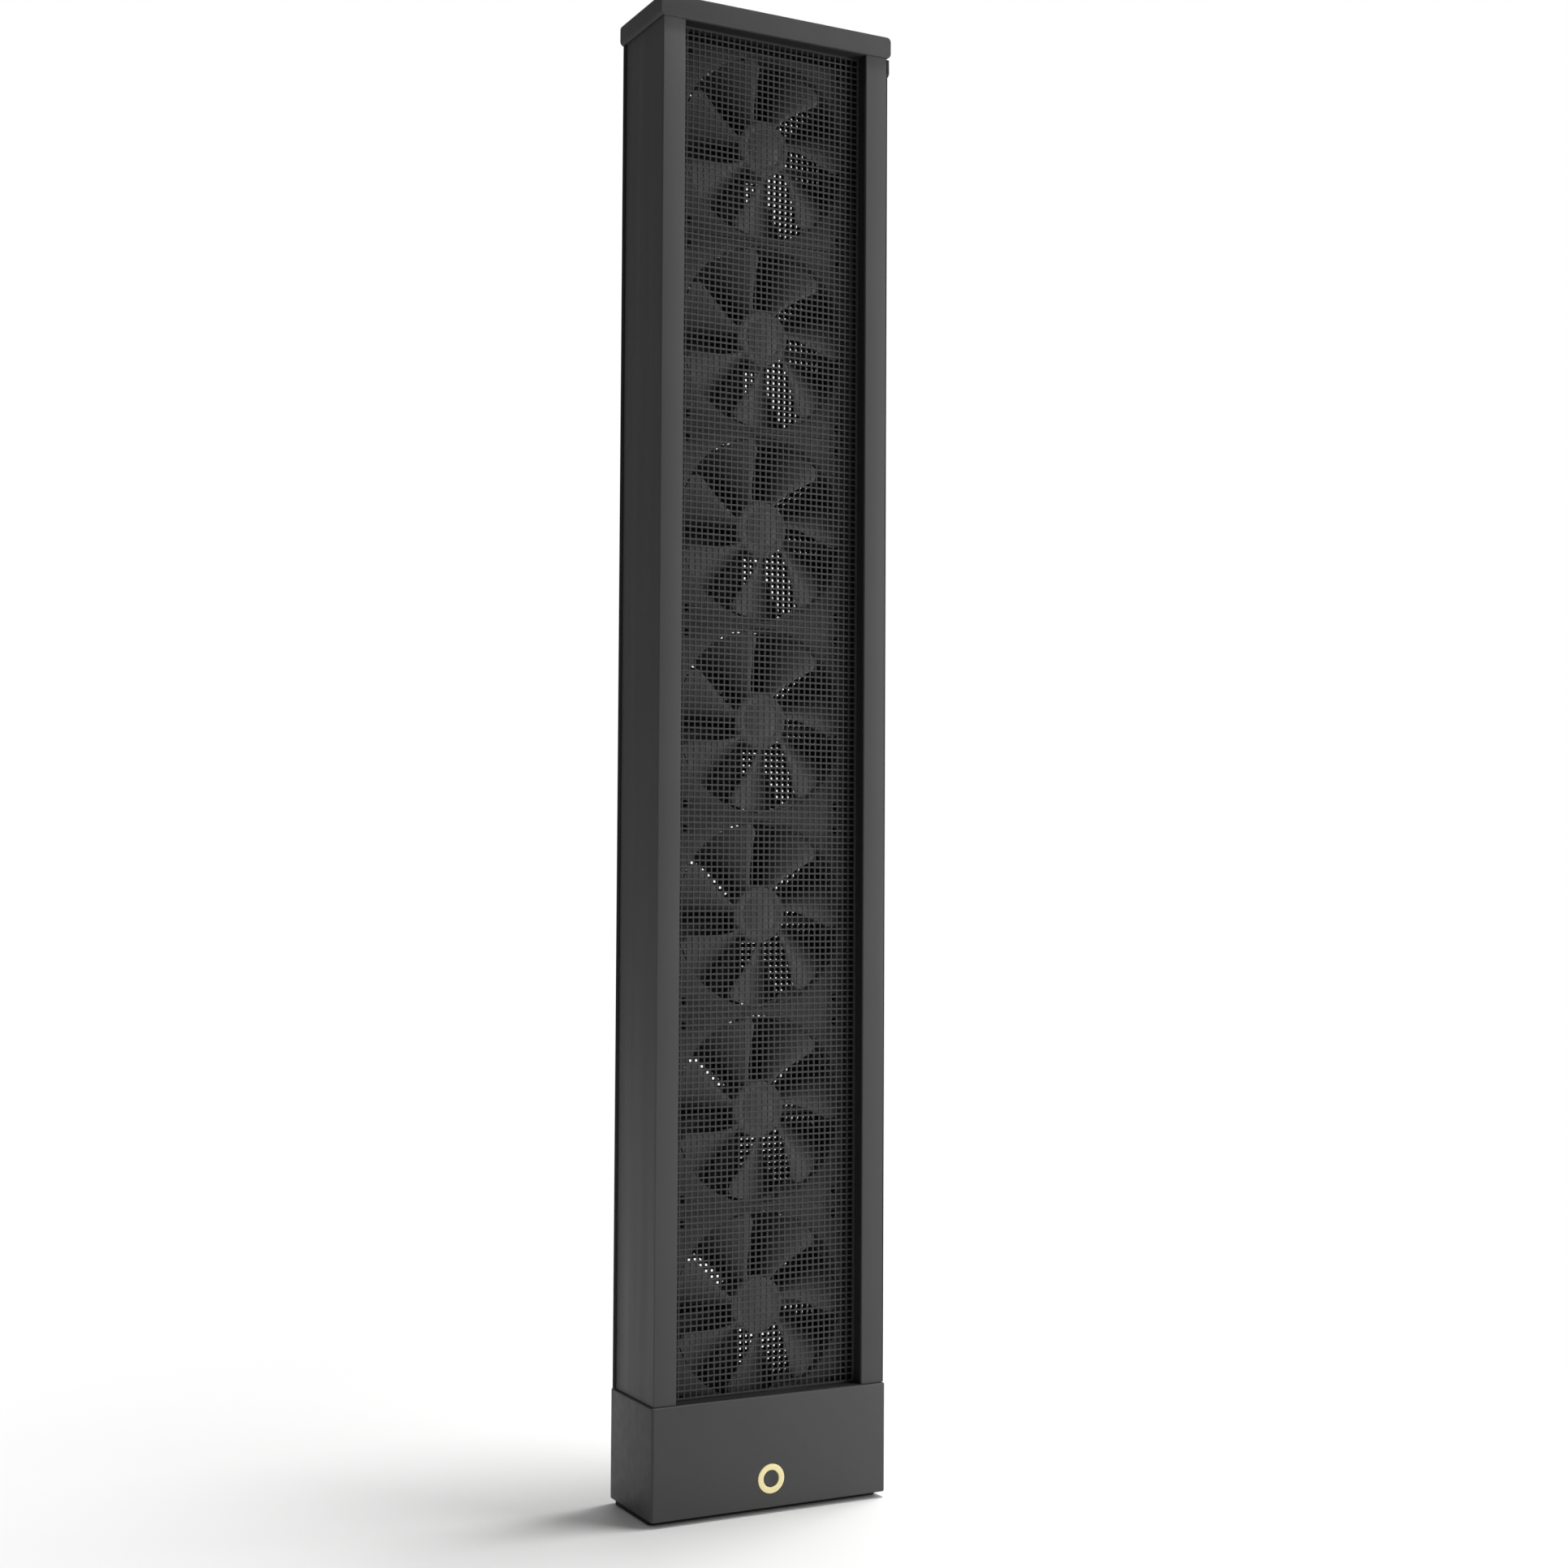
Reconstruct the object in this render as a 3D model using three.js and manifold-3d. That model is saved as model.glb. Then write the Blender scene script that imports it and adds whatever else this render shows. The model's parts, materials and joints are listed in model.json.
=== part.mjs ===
// A slim tower fan for a sliding window: seven axial fans stacked in a dark aluminium case.
// Two extruded stiles carry the fans and the wire meshes, a cap closes the top, and a control
// box with one push button closes the bottom.
//
// Millimetres. +Z is up, +X is to the right seen from the front, and the front faces -Y.
// The origin is on the floor, in the middle of the width and of the depth.

import * as THREE from 'three';
import { mergeGeometries, mergeVertices } from 'three/addons/utils/BufferGeometryUtils.js';
import Module from 'manifold-3d';

const wasm = await Module();
wasm.setup();

// ---------------------------------------------------------------- driving dimensions

// Room left between two pieces that would otherwise touch.
const GAP = 0.3;
// How far a cutter runs past the face that it opens.
const OVERRUN = 1;

// Case.
const OPENING_MARGIN = 3;
const FOAM_ROOM = 5;
const STILE_WIDTH = 15;
const CASE_DEPTH = 60;
const STILE_WALL = 1.6;
const FAN_LIP_REACH = 2.5;
const FAN_LIP_THICKNESS = 1.5;

// Wire meshes, front and rear.
const MESH_RECESS = 9;
const MESH_THICKNESS = 1.5;
const MESH_GROOVE_DEPTH = 3;
const MESH_BORDER = 4.2;
const MESH_WIRE = 2;
const FRONT_MESH_COLUMNS = 5;
const FRONT_MESH_ROWS = 28;
const REAR_MESH_COLUMNS = 4;
const REAR_MESH_ROWS = 20;

// Cap at the top.
const CAP_HEIGHT = 13.5;
const CAP_TOP_WALL = 2.5;
const CAP_SIDE_WALL = 2.2;
const CAP_FRONT_WALL = 1;
const CAP_CORNER = 3;
const CAP_SCREW_SPACING = 70;

// Control box at the bottom.
const BASE_HEIGHT = 67;
const BASE_PROUD = 1.3;
const BASE_WALL = 2.5;
const BASE_CORNER = 1.5;
const BASE_PLATE_THICKNESS = 2;
const FAN_SINK = 9;
const WELL_WALL = 1.6;
const BOSS_RADIUS = 3.5;
const BOSS_INSET = 7;
const BOSS_HOLE_DEPTH = 12;
const SPIGOT_WIDTH = 6.6;
const SPIGOT_DEPTH = 18;
const SPIGOT_HEIGHT = 12;
const PAD_THICKNESS = 3.5;
const PAD_FRONT_INSET = 8;
const PAD_SIDE_INSET = 2;
const PAD_REAR_INSET = 2;

// Push button and the board behind it.
const BUTTON_HEIGHT = 17.2;
const BUTTON_RADIUS = 4.85;
const BUTTON_SET_BACK = 0.2;
const BUTTON_TRAVEL = 0.8;
const BUTTON_FLANGE_RADIUS = 6.4;
const BUTTON_FLANGE_THICKNESS = 1.2;
const RING_RADIUS = 9;
const RING_THICKNESS = 1.2;
const BOARD_WIDTH = 56;
const BOARD_HEIGHT = 40;
const BOARD_THICKNESS = 1.6;
const BOARD_STAND_OFF = 6.3;
const BOARD_LIFT = 5.5;
const POST_SIDE = 5;
const POST_INSET = 4;
const SWITCH_SIDE = 6;

// Power inlet in the rear wall of the control box.
const INLET_OFFSET = 45;
const INLET_HEIGHT = 14;
const INLET_SIDE = 11;
const INLET_LENGTH = 12;
const INLET_NOZZLE_RADIUS = 4.2;
const INLET_BORE_RADIUS = 2.8;
const INLET_BORE_DEPTH = 9;
const INLET_PIN_RADIUS = 1;

// Screws: one size for the sheet parts and a smaller one for the board.
const SCREW_RADIUS = 1.5;
const SCREW_HEAD_RADIUS = 3.2;
const SCREW_HEAD_HEIGHT = 1.2;
const SCREW_LENGTH = 10;
const BOARD_SCREW_RADIUS = 1.1;
const BOARD_SCREW_HEAD_RADIUS = 2.2;
const BOARD_SCREW_LENGTH = 5;

// Seal strips along the stiles, and the clip that ends the right one.
const SEAL_WIDTH = 4;
const SEAL_HEIGHT = 1.1;
const SEAL_INSET = 0.5;
const CLIP_LENGTH = 11;
const CLIP_WIDTH = 5.5;
const CLIP_HEIGHT = 1.9;

// Wiring.
const LOOM_RADIUS = 1.6;
const LOOM_BRANCH_RADIUS = 1.2;
const LEAD_RADIUS = 1.4;

// Fans.
const FAN_COUNT = 7;
const FAN_PITCH = 120;
const FAN_DEPTH = 25;
const FAN_SPACING_GAP = 0.4;
const FAN_CORNER = 3;
const FAN_BORE_MARGIN = 2.5;
const FAN_HOLE_INSET = 7.5;
const FAN_HOLE_RADIUS = 2.15;
const STRUT_COUNT = 4;
const STRUT_WIDTH = 5;
const STRUT_THICKNESS = 3;
const MOTOR_PLATE_RADIUS = 17;
const BEARING_TUBE_RADIUS = 4.5;
const BEARING_TUBE_LENGTH = 13.5;
const BEARING_RADIUS = 3;
const BEARING_LENGTH = 13;
const SHAFT_RADIUS = 1.5;
const STATOR_RADIUS = 13;
const STATOR_POLE_WIDTH = 9;
const STATOR_CORE_RADIUS = 8;
const STATOR_THICKNESS = 7;
const HUB_RADIUS = 17.5;
const HUB_LENGTH = 18;
const HUB_WALL = 2.5;
const HUB_FRONT_WALL = 2;
const HUB_SET_BACK = 1.5;
const HUB_ROUNDING = 1;
const BLADE_COUNT = 7;
const BLADE_TIP_GAP = 1.5;
const BLADE_THICKNESS = 1.5;
const BLADE_SET_BACK = 1;
const BLADE_AXIAL_LENGTH = 16.5;
const BLADE_SWEEP_DEG = 20;
const BLADE_ROOT_CHORD_DEG = 17;
const BLADE_TIP_CHORD_DEG = 45;
const BLADE_CURL = 2;
const FIRST_BLADE_DEG = 40;

// Facets of round parts.
const BORE_SIDES = 22;
const HUB_SIDES = 2 * BLADE_COUNT;
const SMALL_SIDES = 10;
const HOLE_SIDES = 6;

// ---------------------------------------------------------------- sizes that follow

const halfOpening = FAN_PITCH / 2 + OPENING_MARGIN;
const halfCase = halfOpening + STILE_WIDTH;
const halfDepth = CASE_DEPTH / 2;
const halfFan = (FAN_PITCH - FAN_SPACING_GAP) / 2;
const halfFanDepth = FAN_DEPTH / 2;

const deckHeight = PAD_THICKNESS + BASE_HEIGHT;
const wellFloor = deckHeight - FAN_SINK;
const openingTop = wellFloor + FAN_COUNT * FAN_PITCH + FOAM_ROOM;
const topHeight = openingTop + CAP_HEIGHT;
const stileBottom = deckHeight + GAP;
const stileTop = topHeight - CAP_TOP_WALL - GAP;
const stackTop = wellFloor + GAP + FAN_COUNT * FAN_PITCH - FAN_SPACING_GAP / 2;

const grooveFront = -halfDepth + MESH_RECESS - GAP;
const grooveBack = grooveFront + MESH_THICKNESS + 2 * GAP;
const meshFront = grooveFront + GAP;
const meshHalfWidth = halfOpening + MESH_GROOVE_DEPTH - GAP;
const meshTop = openingTop + MESH_GROOVE_DEPTH - GAP;

const baseHalfWidth = halfCase + BASE_PROUD;
const baseHalfDepth = halfDepth + BASE_PROUD;
const baseInnerHalfWidth = baseHalfWidth - BASE_WALL;
const baseInnerHalfDepth = baseHalfDepth - BASE_WALL;
const buttonCentre = PAD_THICKNESS + BUTTON_HEIGHT;
const inletCentre = PAD_THICKNESS + INLET_HEIGHT;
const boardFront = -baseInnerHalfDepth + BOARD_STAND_OFF;
const boardBack = boardFront + BOARD_THICKNESS;
const boardBottom = PAD_THICKNESS + BOARD_LIFT;
const boardMiddle = boardBottom + BOARD_HEIGHT / 2;
const buttonHoleRadius = BUTTON_RADIUS + GAP;
const buttonBack = -baseInnerHalfDepth + GAP + BUTTON_FLANGE_THICKNESS;

const hubFront = -halfFanDepth + HUB_SET_BACK;
const hubBack = hubFront + HUB_LENGTH;
const motorPlateFront = halfFanDepth - STRUT_THICKNESS;
const fanBoreRadius = FAN_PITCH / 2 - FAN_BORE_MARGIN;
const bladeTipRadius = fanBoreRadius - BLADE_TIP_GAP;
const bearingBore = SHAFT_RADIUS + GAP;
const bearingTubeBore = BEARING_RADIUS + GAP;
const bearingSeat = motorPlateFront + STRUT_THICKNESS / 3;
const wellHalfWidth = halfFan + 2 * GAP;
const wellHalfDepth = halfFanDepth + 2 * GAP;
const wellUnderside = wellFloor - WELL_WALL;
const loomHoleRadius = LOOM_RADIUS + 2 * GAP;
const loomX = -halfOpening + GAP + loomHoleRadius;
const loomY = wellHalfDepth + WELL_WALL + GAP + loomHoleRadius;
const screwHole = SCREW_RADIUS + GAP;
const boardScrewHole = BOARD_SCREW_RADIUS + GAP;

const radians = THREE.MathUtils.degToRad;

// Height of a fan's axle; the lowest fan is number 1.
function fanHeight(number) {
  return wellFloor + GAP + (number - 0.5) * FAN_PITCH;
}

// ---------------------------------------------------------------- geometry helpers

// The same surface with its shared corners merged and its faces pointing out.
function sealed(geometry) {
  const bare = geometry.index ? geometry.toNonIndexed() : geometry.clone();
  bare.deleteAttribute('normal');
  bare.deleteAttribute('uv');
  const merged = mergeVertices(bare, 1e-4);
  const place = merged.getAttribute('position');
  const index = merged.getIndex();
  const [a, b, c] = [new THREE.Vector3(), new THREE.Vector3(), new THREE.Vector3()];
  let volume = 0;
  for (let i = 0; i < index.count; i += 3) {
    a.fromBufferAttribute(place, index.getX(i));
    b.fromBufferAttribute(place, index.getX(i + 1));
    c.fromBufferAttribute(place, index.getX(i + 2));
    volume += a.dot(b.cross(c)) / 6;
  }
  if (volume < 0) {
    for (let i = 0; i < index.count; i += 3) {
      const first = index.getX(i);
      index.setX(i, index.getX(i + 1));
      index.setX(i + 1, first);
    }
  }
  return merged;
}

function toSolid(geometry) {
  const merged = sealed(geometry);
  const vertProperties = new Float32Array(merged.getAttribute('position').array);
  const triVerts = new Uint32Array(merged.getIndex().array);
  return new wasm.Manifold(new wasm.Mesh({ numProp: 3, vertProperties, triVerts }));
}

function toGeometry(solid) {
  const { vertProperties, triVerts } = solid.getMesh();
  const geometry = new THREE.BufferGeometry();
  geometry.setAttribute('position', new THREE.BufferAttribute(new Float32Array(vertProperties), 3));
  geometry.setIndex(new THREE.BufferAttribute(new Uint32Array(triVerts), 1));
  geometry.computeVertexNormals();
  return geometry;
}

// A body with pieces joined on and then others cut away.
function shaped(body, joined, cut) {
  let solid = toSolid(body);
  for (const geometry of joined) {
    solid = solid.add(toSolid(geometry));
  }
  for (const geometry of cut) {
    solid = solid.subtract(toSolid(geometry));
  }
  return toGeometry(solid);
}

// A block between two corners.
function block(low, high) {
  const size = high.map((value, i) => value - low[i]);
  const middle = high.map((value, i) => (value + low[i]) / 2);
  return new THREE.BoxGeometry(...size).translate(...middle);
}

// A block that reaches as far to the left as to the right, and to the front as to the back.
function centredBlock(halfX, halfY, lowZ, highZ) {
  return block([-halfX, -halfY, lowZ], [halfX, halfY, highZ]);
}

// Corners of a circle about (x, y).
function circle(radius, sides, x = 0, y = 0) {
  const corners = [];
  for (let i = 0; i < sides; i += 1) {
    const angle = (2 * Math.PI * (i + 0.5)) / sides;
    corners.push([x + radius * Math.cos(angle), y + radius * Math.sin(angle)]);
  }
  return corners;
}

// Corners of a rectangle with rounded corners, each an arc of so many steps.
function roundedRectangle(halfX, halfY, radius, steps) {
  const corners = [];
  for (const [quarter, signX, signY] of [[0, 1, 1], [1, -1, 1], [2, -1, -1], [3, 1, -1]]) {
    for (let i = 0; i <= steps; i += 1) {
      const angle = ((quarter + i / steps) * Math.PI) / 2;
      corners.push([
        signX * (halfX - radius) + radius * Math.cos(angle),
        signY * (halfY - radius) + radius * Math.sin(angle),
      ]);
    }
  }
  return corners;
}

// An outline with holes, extruded along +Z.
function prismZ(outline, holes, low, high) {
  const toPoints = (corners) => corners.map(([x, y]) => new THREE.Vector2(x, y));
  const shape = new THREE.Shape(toPoints(outline));
  shape.holes = holes.map((corners) => new THREE.Path(toPoints(corners)));
  const geometry = new THREE.ExtrudeGeometry(shape, { depth: high - low, bevelEnabled: false });
  return geometry.translate(0, 0, low);
}

// An outline drawn in x and z, extruded from front to back.
function prismY(outline, holes, front, back) {
  return prismZ(outline, holes, -back, -front).rotateX(Math.PI / 2);
}

// An outline drawn in y and z, extruded from left to right.
function prismX(outline, holes, left, right) {
  return prismZ(outline, holes, left, right).rotateX(Math.PI / 2).rotateZ(Math.PI / 2);
}

// A profile of [radius, y] turned about a front-to-back axis.
function turned(profile, sides) {
  const points = profile.map(([radius, y]) => new THREE.Vector2(radius, y));
  return new THREE.LatheGeometry(points, sides);
}

// Round rods along each axis.
function rodX(radius, left, right, y, z, sides) {
  return prismX(circle(radius, sides, y, z), [], left, right);
}

function rodY(radius, front, back, x, z, sides) {
  return prismY(circle(radius, sides, x, z), [], front, back);
}

function rodZ(radius, low, high, x, y, sides) {
  return prismZ(circle(radius, sides, x, y), [], low, high);
}

// A round lead through the given points.
function lead(points, radius, steps) {
  const path = new THREE.CatmullRomCurve3(points.map((point) => new THREE.Vector3(...point)));
  const section = new THREE.Shape(circle(radius, HOLE_SIDES).map(([x, y]) => new THREE.Vector2(x, y)));
  return new THREE.ExtrudeGeometry(section, { steps, extrudePath: path, bevelEnabled: false });
}

// ---------------------------------------------------------------- materials

function finish(color, roughness, metalness) {
  return new THREE.MeshStandardMaterial({ color, roughness, metalness });
}

const paintedAluminium = finish(0x4b4b4c, 0.55, 0.1);
const wireMesh = finish(0x4a4a4a, 0.5, 0.3);
const boxPlastic = finish(0x4c4b4c, 0.5, 0);
const plainPlastic = finish(0x2b2b2c, 0.6, 0);
const fanPlastic = finish(0x3a3a3b, 0.45, 0);
const sealRubber = finish(0x161617, 0.9, 0);
const foam = finish(0x222223, 1, 0);
const ringGold = finish(0xefdc93, 0.35, 0.6);
const boardGreen = finish(0x1d4a33, 0.5, 0);
const screwSteel = finish(0x8a8c8e, 0.3, 0.9);
const bearingBronze = finish(0x8c6a3a, 0.4, 0.8);
const coilCopper = finish(0x8f5a34, 0.4, 0.8);
const wireSheath = finish(0x101010, 0.6, 0);

const windowFan = new THREE.Group();

function place(parent, name, geometry, material) {
  const mesh = new THREE.Mesh(geometry, material);
  mesh.name = name;
  parent.add(mesh);
  return mesh;
}

// ---------------------------------------------------------------- stiles and seals

// Adds the rear half to a profile's front half, which runs from side to side at y < 0.
function mirroredInDepth(frontHalf) {
  const rearHalf = frontHalf.map(([x, y]) => [x, -y]).reverse();
  return [...frontHalf, ...rearHalf];
}

// The left stile's section: a flat face, a groove for each mesh and a channel for the fans.
const fanEdge = -halfFan - GAP;
const lipBack = -halfFanDepth - GAP;
const lipFront = lipBack - FAN_LIP_THICKNESS;
const stileOutline = mirroredInDepth([
  [-halfCase, -halfDepth],
  [-halfOpening, -halfDepth],
  [-halfOpening, grooveFront],
  [-halfOpening - MESH_GROOVE_DEPTH, grooveFront],
  [-halfOpening - MESH_GROOVE_DEPTH, grooveBack],
  [-halfOpening, grooveBack],
  [-halfOpening, lipFront],
  [fanEdge + FAN_LIP_REACH, lipFront],
  [fanEdge + FAN_LIP_REACH, lipBack],
  [fanEdge, lipBack],
]);

// The hollow inside, one wall thickness from the outline.
const chamberOutline = mirroredInDepth([
  [-halfCase + STILE_WALL, -halfDepth + STILE_WALL],
  [-halfOpening - STILE_WALL, -halfDepth + STILE_WALL],
  [-halfOpening - STILE_WALL, grooveFront - STILE_WALL],
  [-halfOpening - MESH_GROOVE_DEPTH - STILE_WALL, grooveFront - STILE_WALL],
  [-halfOpening - MESH_GROOVE_DEPTH - STILE_WALL, grooveBack + STILE_WALL],
  [-halfOpening - STILE_WALL, grooveBack + STILE_WALL],
  [-halfOpening - STILE_WALL, lipFront + STILE_WALL],
  [fanEdge - STILE_WALL, lipFront + STILE_WALL],
]);

function stileGeometry() {
  return prismZ(stileOutline, [chamberOutline], stileBottom, stileTop);
}

place(windowFan, 'left_stile', stileGeometry(), paintedAluminium);
place(windowFan, 'right_stile', stileGeometry(), paintedAluminium).rotation.z = Math.PI;

// A half-round strip on the left stile's outer face, near its rear edge.
function sealGeometry(low, high) {
  const middle = halfDepth - SEAL_INSET - SEAL_WIDTH / 2;
  const section = [];
  const steps = 4;
  for (let i = 0; i <= steps; i += 1) {
    const angle = (Math.PI * i) / steps;
    const x = -halfCase - GAP - SEAL_HEIGHT * Math.sin(angle);
    section.push([x, middle + (SEAL_WIDTH / 2) * Math.cos(angle)]);
  }
  return prismZ(section, [], low, high);
}

const sealTop = openingTop - GAP;
const clipBottom = sealTop - CLIP_LENGTH;
place(windowFan, 'left_seal', sealGeometry(stileBottom, sealTop), sealRubber);
const rightSeal = sealGeometry(stileBottom, clipBottom - GAP);
place(windowFan, 'right_seal', rightSeal, sealRubber).rotation.z = Math.PI;

// The clip at the head of the right seal has a round lower end.
function clipGeometry() {
  const middle = -halfDepth + SEAL_INSET + CLIP_WIDTH / 2;
  const radius = CLIP_WIDTH / 2;
  const outline = [[middle + radius, sealTop], [middle - radius, sealTop]];
  const steps = 6;
  for (let i = 0; i <= steps; i += 1) {
    const angle = Math.PI + (Math.PI * i) / steps;
    outline.push([middle + radius * Math.cos(angle), clipBottom + radius + radius * Math.sin(angle)]);
  }
  return prismX(outline, [], halfCase + GAP, halfCase + GAP + CLIP_HEIGHT);
}

place(windowFan, 'seal_clip', clipGeometry(), plainPlastic);

// ---------------------------------------------------------------- meshes

// A flat panel of crossed wires inside a plain border, its front face at the given depth.
function meshGeometry(columns, rows, front) {
  const low = stileBottom;
  const left = -meshHalfWidth + MESH_BORDER;
  const bottom = low + MESH_BORDER;
  const pitchX = (2 * -left + MESH_WIRE) / columns;
  const pitchZ = (meshTop - MESH_BORDER - bottom + MESH_WIRE) / rows;
  const back = front + MESH_THICKNESS;
  const gaps = [];
  for (let row = 0; row < rows; row += 1) {
    for (let column = 0; column < columns; column += 1) {
      const x = left + column * pitchX;
      const z = bottom + row * pitchZ;
      const [right, top] = [x + pitchX - MESH_WIRE, z + pitchZ - MESH_WIRE];
      gaps.push(block([x, front - OVERRUN, z], [right, back + OVERRUN, top]));
    }
  }
  const panel = block([-meshHalfWidth, front, low], [meshHalfWidth, back, meshTop]);
  return shaped(panel, [], [mergeGeometries(gaps)]);
}

const frontMesh = meshGeometry(FRONT_MESH_COLUMNS, FRONT_MESH_ROWS, meshFront);
const rearMesh = meshGeometry(REAR_MESH_COLUMNS, REAR_MESH_ROWS, -meshFront - MESH_THICKNESS);
place(windowFan, 'front_mesh', frontMesh, wireMesh);
place(windowFan, 'rear_mesh', rearMesh, wireMesh);

// ---------------------------------------------------------------- screws

// A pan-head screw; its head stands on z = 0 and its shank runs down.
function screwGeometry(radius, headRadius, length) {
  const profile = [
    [0, -length],
    [radius, -length],
    [radius, 0],
    [headRadius, 0],
    [headRadius, SCREW_HEAD_HEIGHT],
    [0, SCREW_HEAD_HEIGHT],
  ];
  return turned(profile, SMALL_SIDES).rotateX(Math.PI / 2);
}

// ---------------------------------------------------------------- top rail, cap and foam

const capScrewHeights = topHeight - SCREW_HEAD_HEIGHT - GAP;

// The rail between the stiles: three hollows along its length and a groove for each mesh.
function topRailGeometry() {
  const low = openingTop;
  const high = stileTop;
  const grooveTop = low + MESH_GROOVE_DEPTH;
  const outline = [
    [-halfDepth, high],
    [-halfDepth, low],
    [grooveFront, low],
    [grooveFront, grooveTop],
    [grooveBack, grooveTop],
    [grooveBack, low],
    [-grooveBack, low],
    [-grooveBack, grooveTop],
    [-grooveFront, grooveTop],
    [-grooveFront, low],
    [halfDepth, low],
    [halfDepth, high],
  ];
  const hollow = (front, back) => [
    [front, low + STILE_WALL],
    [back, low + STILE_WALL],
    [back, high - STILE_WALL],
    [front, high - STILE_WALL],
  ];
  const hollows = [
    hollow(-halfDepth + STILE_WALL, grooveFront - STILE_WALL),
    hollow(grooveBack + STILE_WALL, -grooveBack - STILE_WALL),
    hollow(-grooveFront + STILE_WALL, halfDepth - STILE_WALL),
  ];
  const end = halfOpening - GAP;
  const bar = prismX(outline, hollows, -end, end);
  const notchStart = -fanEdge - FAN_LIP_REACH - GAP;
  const notchDepth = -lipFront + GAP;
  const cuts = [];
  for (const side of [-1, 1]) {
    const nearEnd = Math.min(side * notchStart, side * (end + OVERRUN));
    const farEnd = Math.max(side * notchStart, side * (end + OVERRUN));
    cuts.push(block([nearEnd, -notchDepth, low - OVERRUN], [farEnd, notchDepth, high + OVERRUN]));
    const screwX = (side * CAP_SCREW_SPACING) / 2;
    const holeBottom = high - STILE_WALL - OVERRUN;
    cuts.push(rodZ(screwHole, holeBottom, high + OVERRUN, screwX, 0, HOLE_SIDES));
  }
  return shaped(bar, [], cuts);
}

place(windowFan, 'top_rail', topRailGeometry(), paintedAluminium);

// The cap is a sleeve over the ends of the stiles, with rounded top corners.
function capGeometry() {
  const innerHalfWidth = halfCase + GAP;
  const innerHalfDepth = halfDepth + GAP;
  const half = innerHalfWidth + CAP_SIDE_WALL;
  const depth = innerHalfDepth + CAP_FRONT_WALL;
  const outline = [[-half, openingTop], [half, openingTop]];
  const steps = 3;
  for (const side of [1, -1]) {
    for (let i = 0; i <= steps; i += 1) {
      const turn = side > 0 ? i / steps : 1 - i / steps;
      const angle = (turn * Math.PI) / 2;
      const x = half - CAP_CORNER + CAP_CORNER * Math.cos(angle);
      outline.push([side * x, topHeight - CAP_CORNER + CAP_CORNER * Math.sin(angle)]);
    }
  }
  const body = prismY(outline, [], -depth, depth);
  const innerTop = topHeight - CAP_TOP_WALL;
  const cuts = [centredBlock(innerHalfWidth, innerHalfDepth, openingTop - OVERRUN, innerTop)];
  for (const side of [-1, 1]) {
    const x = (side * CAP_SCREW_SPACING) / 2;
    cuts.push(rodZ(screwHole, innerTop - OVERRUN, topHeight, x, 0, HOLE_SIDES));
    const headRadius = SCREW_HEAD_RADIUS + GAP;
    cuts.push(rodZ(headRadius, capScrewHeights - GAP, topHeight + OVERRUN, x, 0, SMALL_SIDES));
  }
  return shaped(body, [], cuts);
}

place(windowFan, 'top_cap', capGeometry(), paintedAluminium);

for (const [side, name] of [[-1, 'cap_screw_left'], [1, 'cap_screw_right']]) {
  const geometry = screwGeometry(SCREW_RADIUS, SCREW_HEAD_RADIUS, SCREW_LENGTH / 2);
  const screw = place(windowFan, name, geometry, screwSteel);
  screw.position.set((side * CAP_SCREW_SPACING) / 2, 0, capScrewHeights);
}

// A foam strip takes up the room between the highest fan and the rail.
const foamHalfWidth = -fanEdge - FAN_LIP_REACH - GAP;
const foamGeometry = centredBlock(foamHalfWidth, halfFanDepth, stackTop + GAP, openingTop - GAP);
place(windowFan, 'stack_foam', foamGeometry, foam);

// ---------------------------------------------------------------- control box

const bossX = baseInnerHalfWidth - BOSS_INSET;
const bossY = baseInnerHalfDepth - BOSS_INSET;
const bossPlaces = [[-bossX, -bossY], [bossX, -bossY], [-bossX, bossY], [bossX, bossY]];
const plateTop = PAD_THICKNESS + BASE_PLATE_THICKNESS;
const bossBottom = plateTop + GAP;
const postX = BOARD_WIDTH / 2 - POST_INSET;
const postZ = BOARD_HEIGHT / 2 - POST_INSET;
const postPlaces = [[-postX, -postZ], [postX, -postZ], [-postX, postZ], [postX, postZ]];

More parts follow.
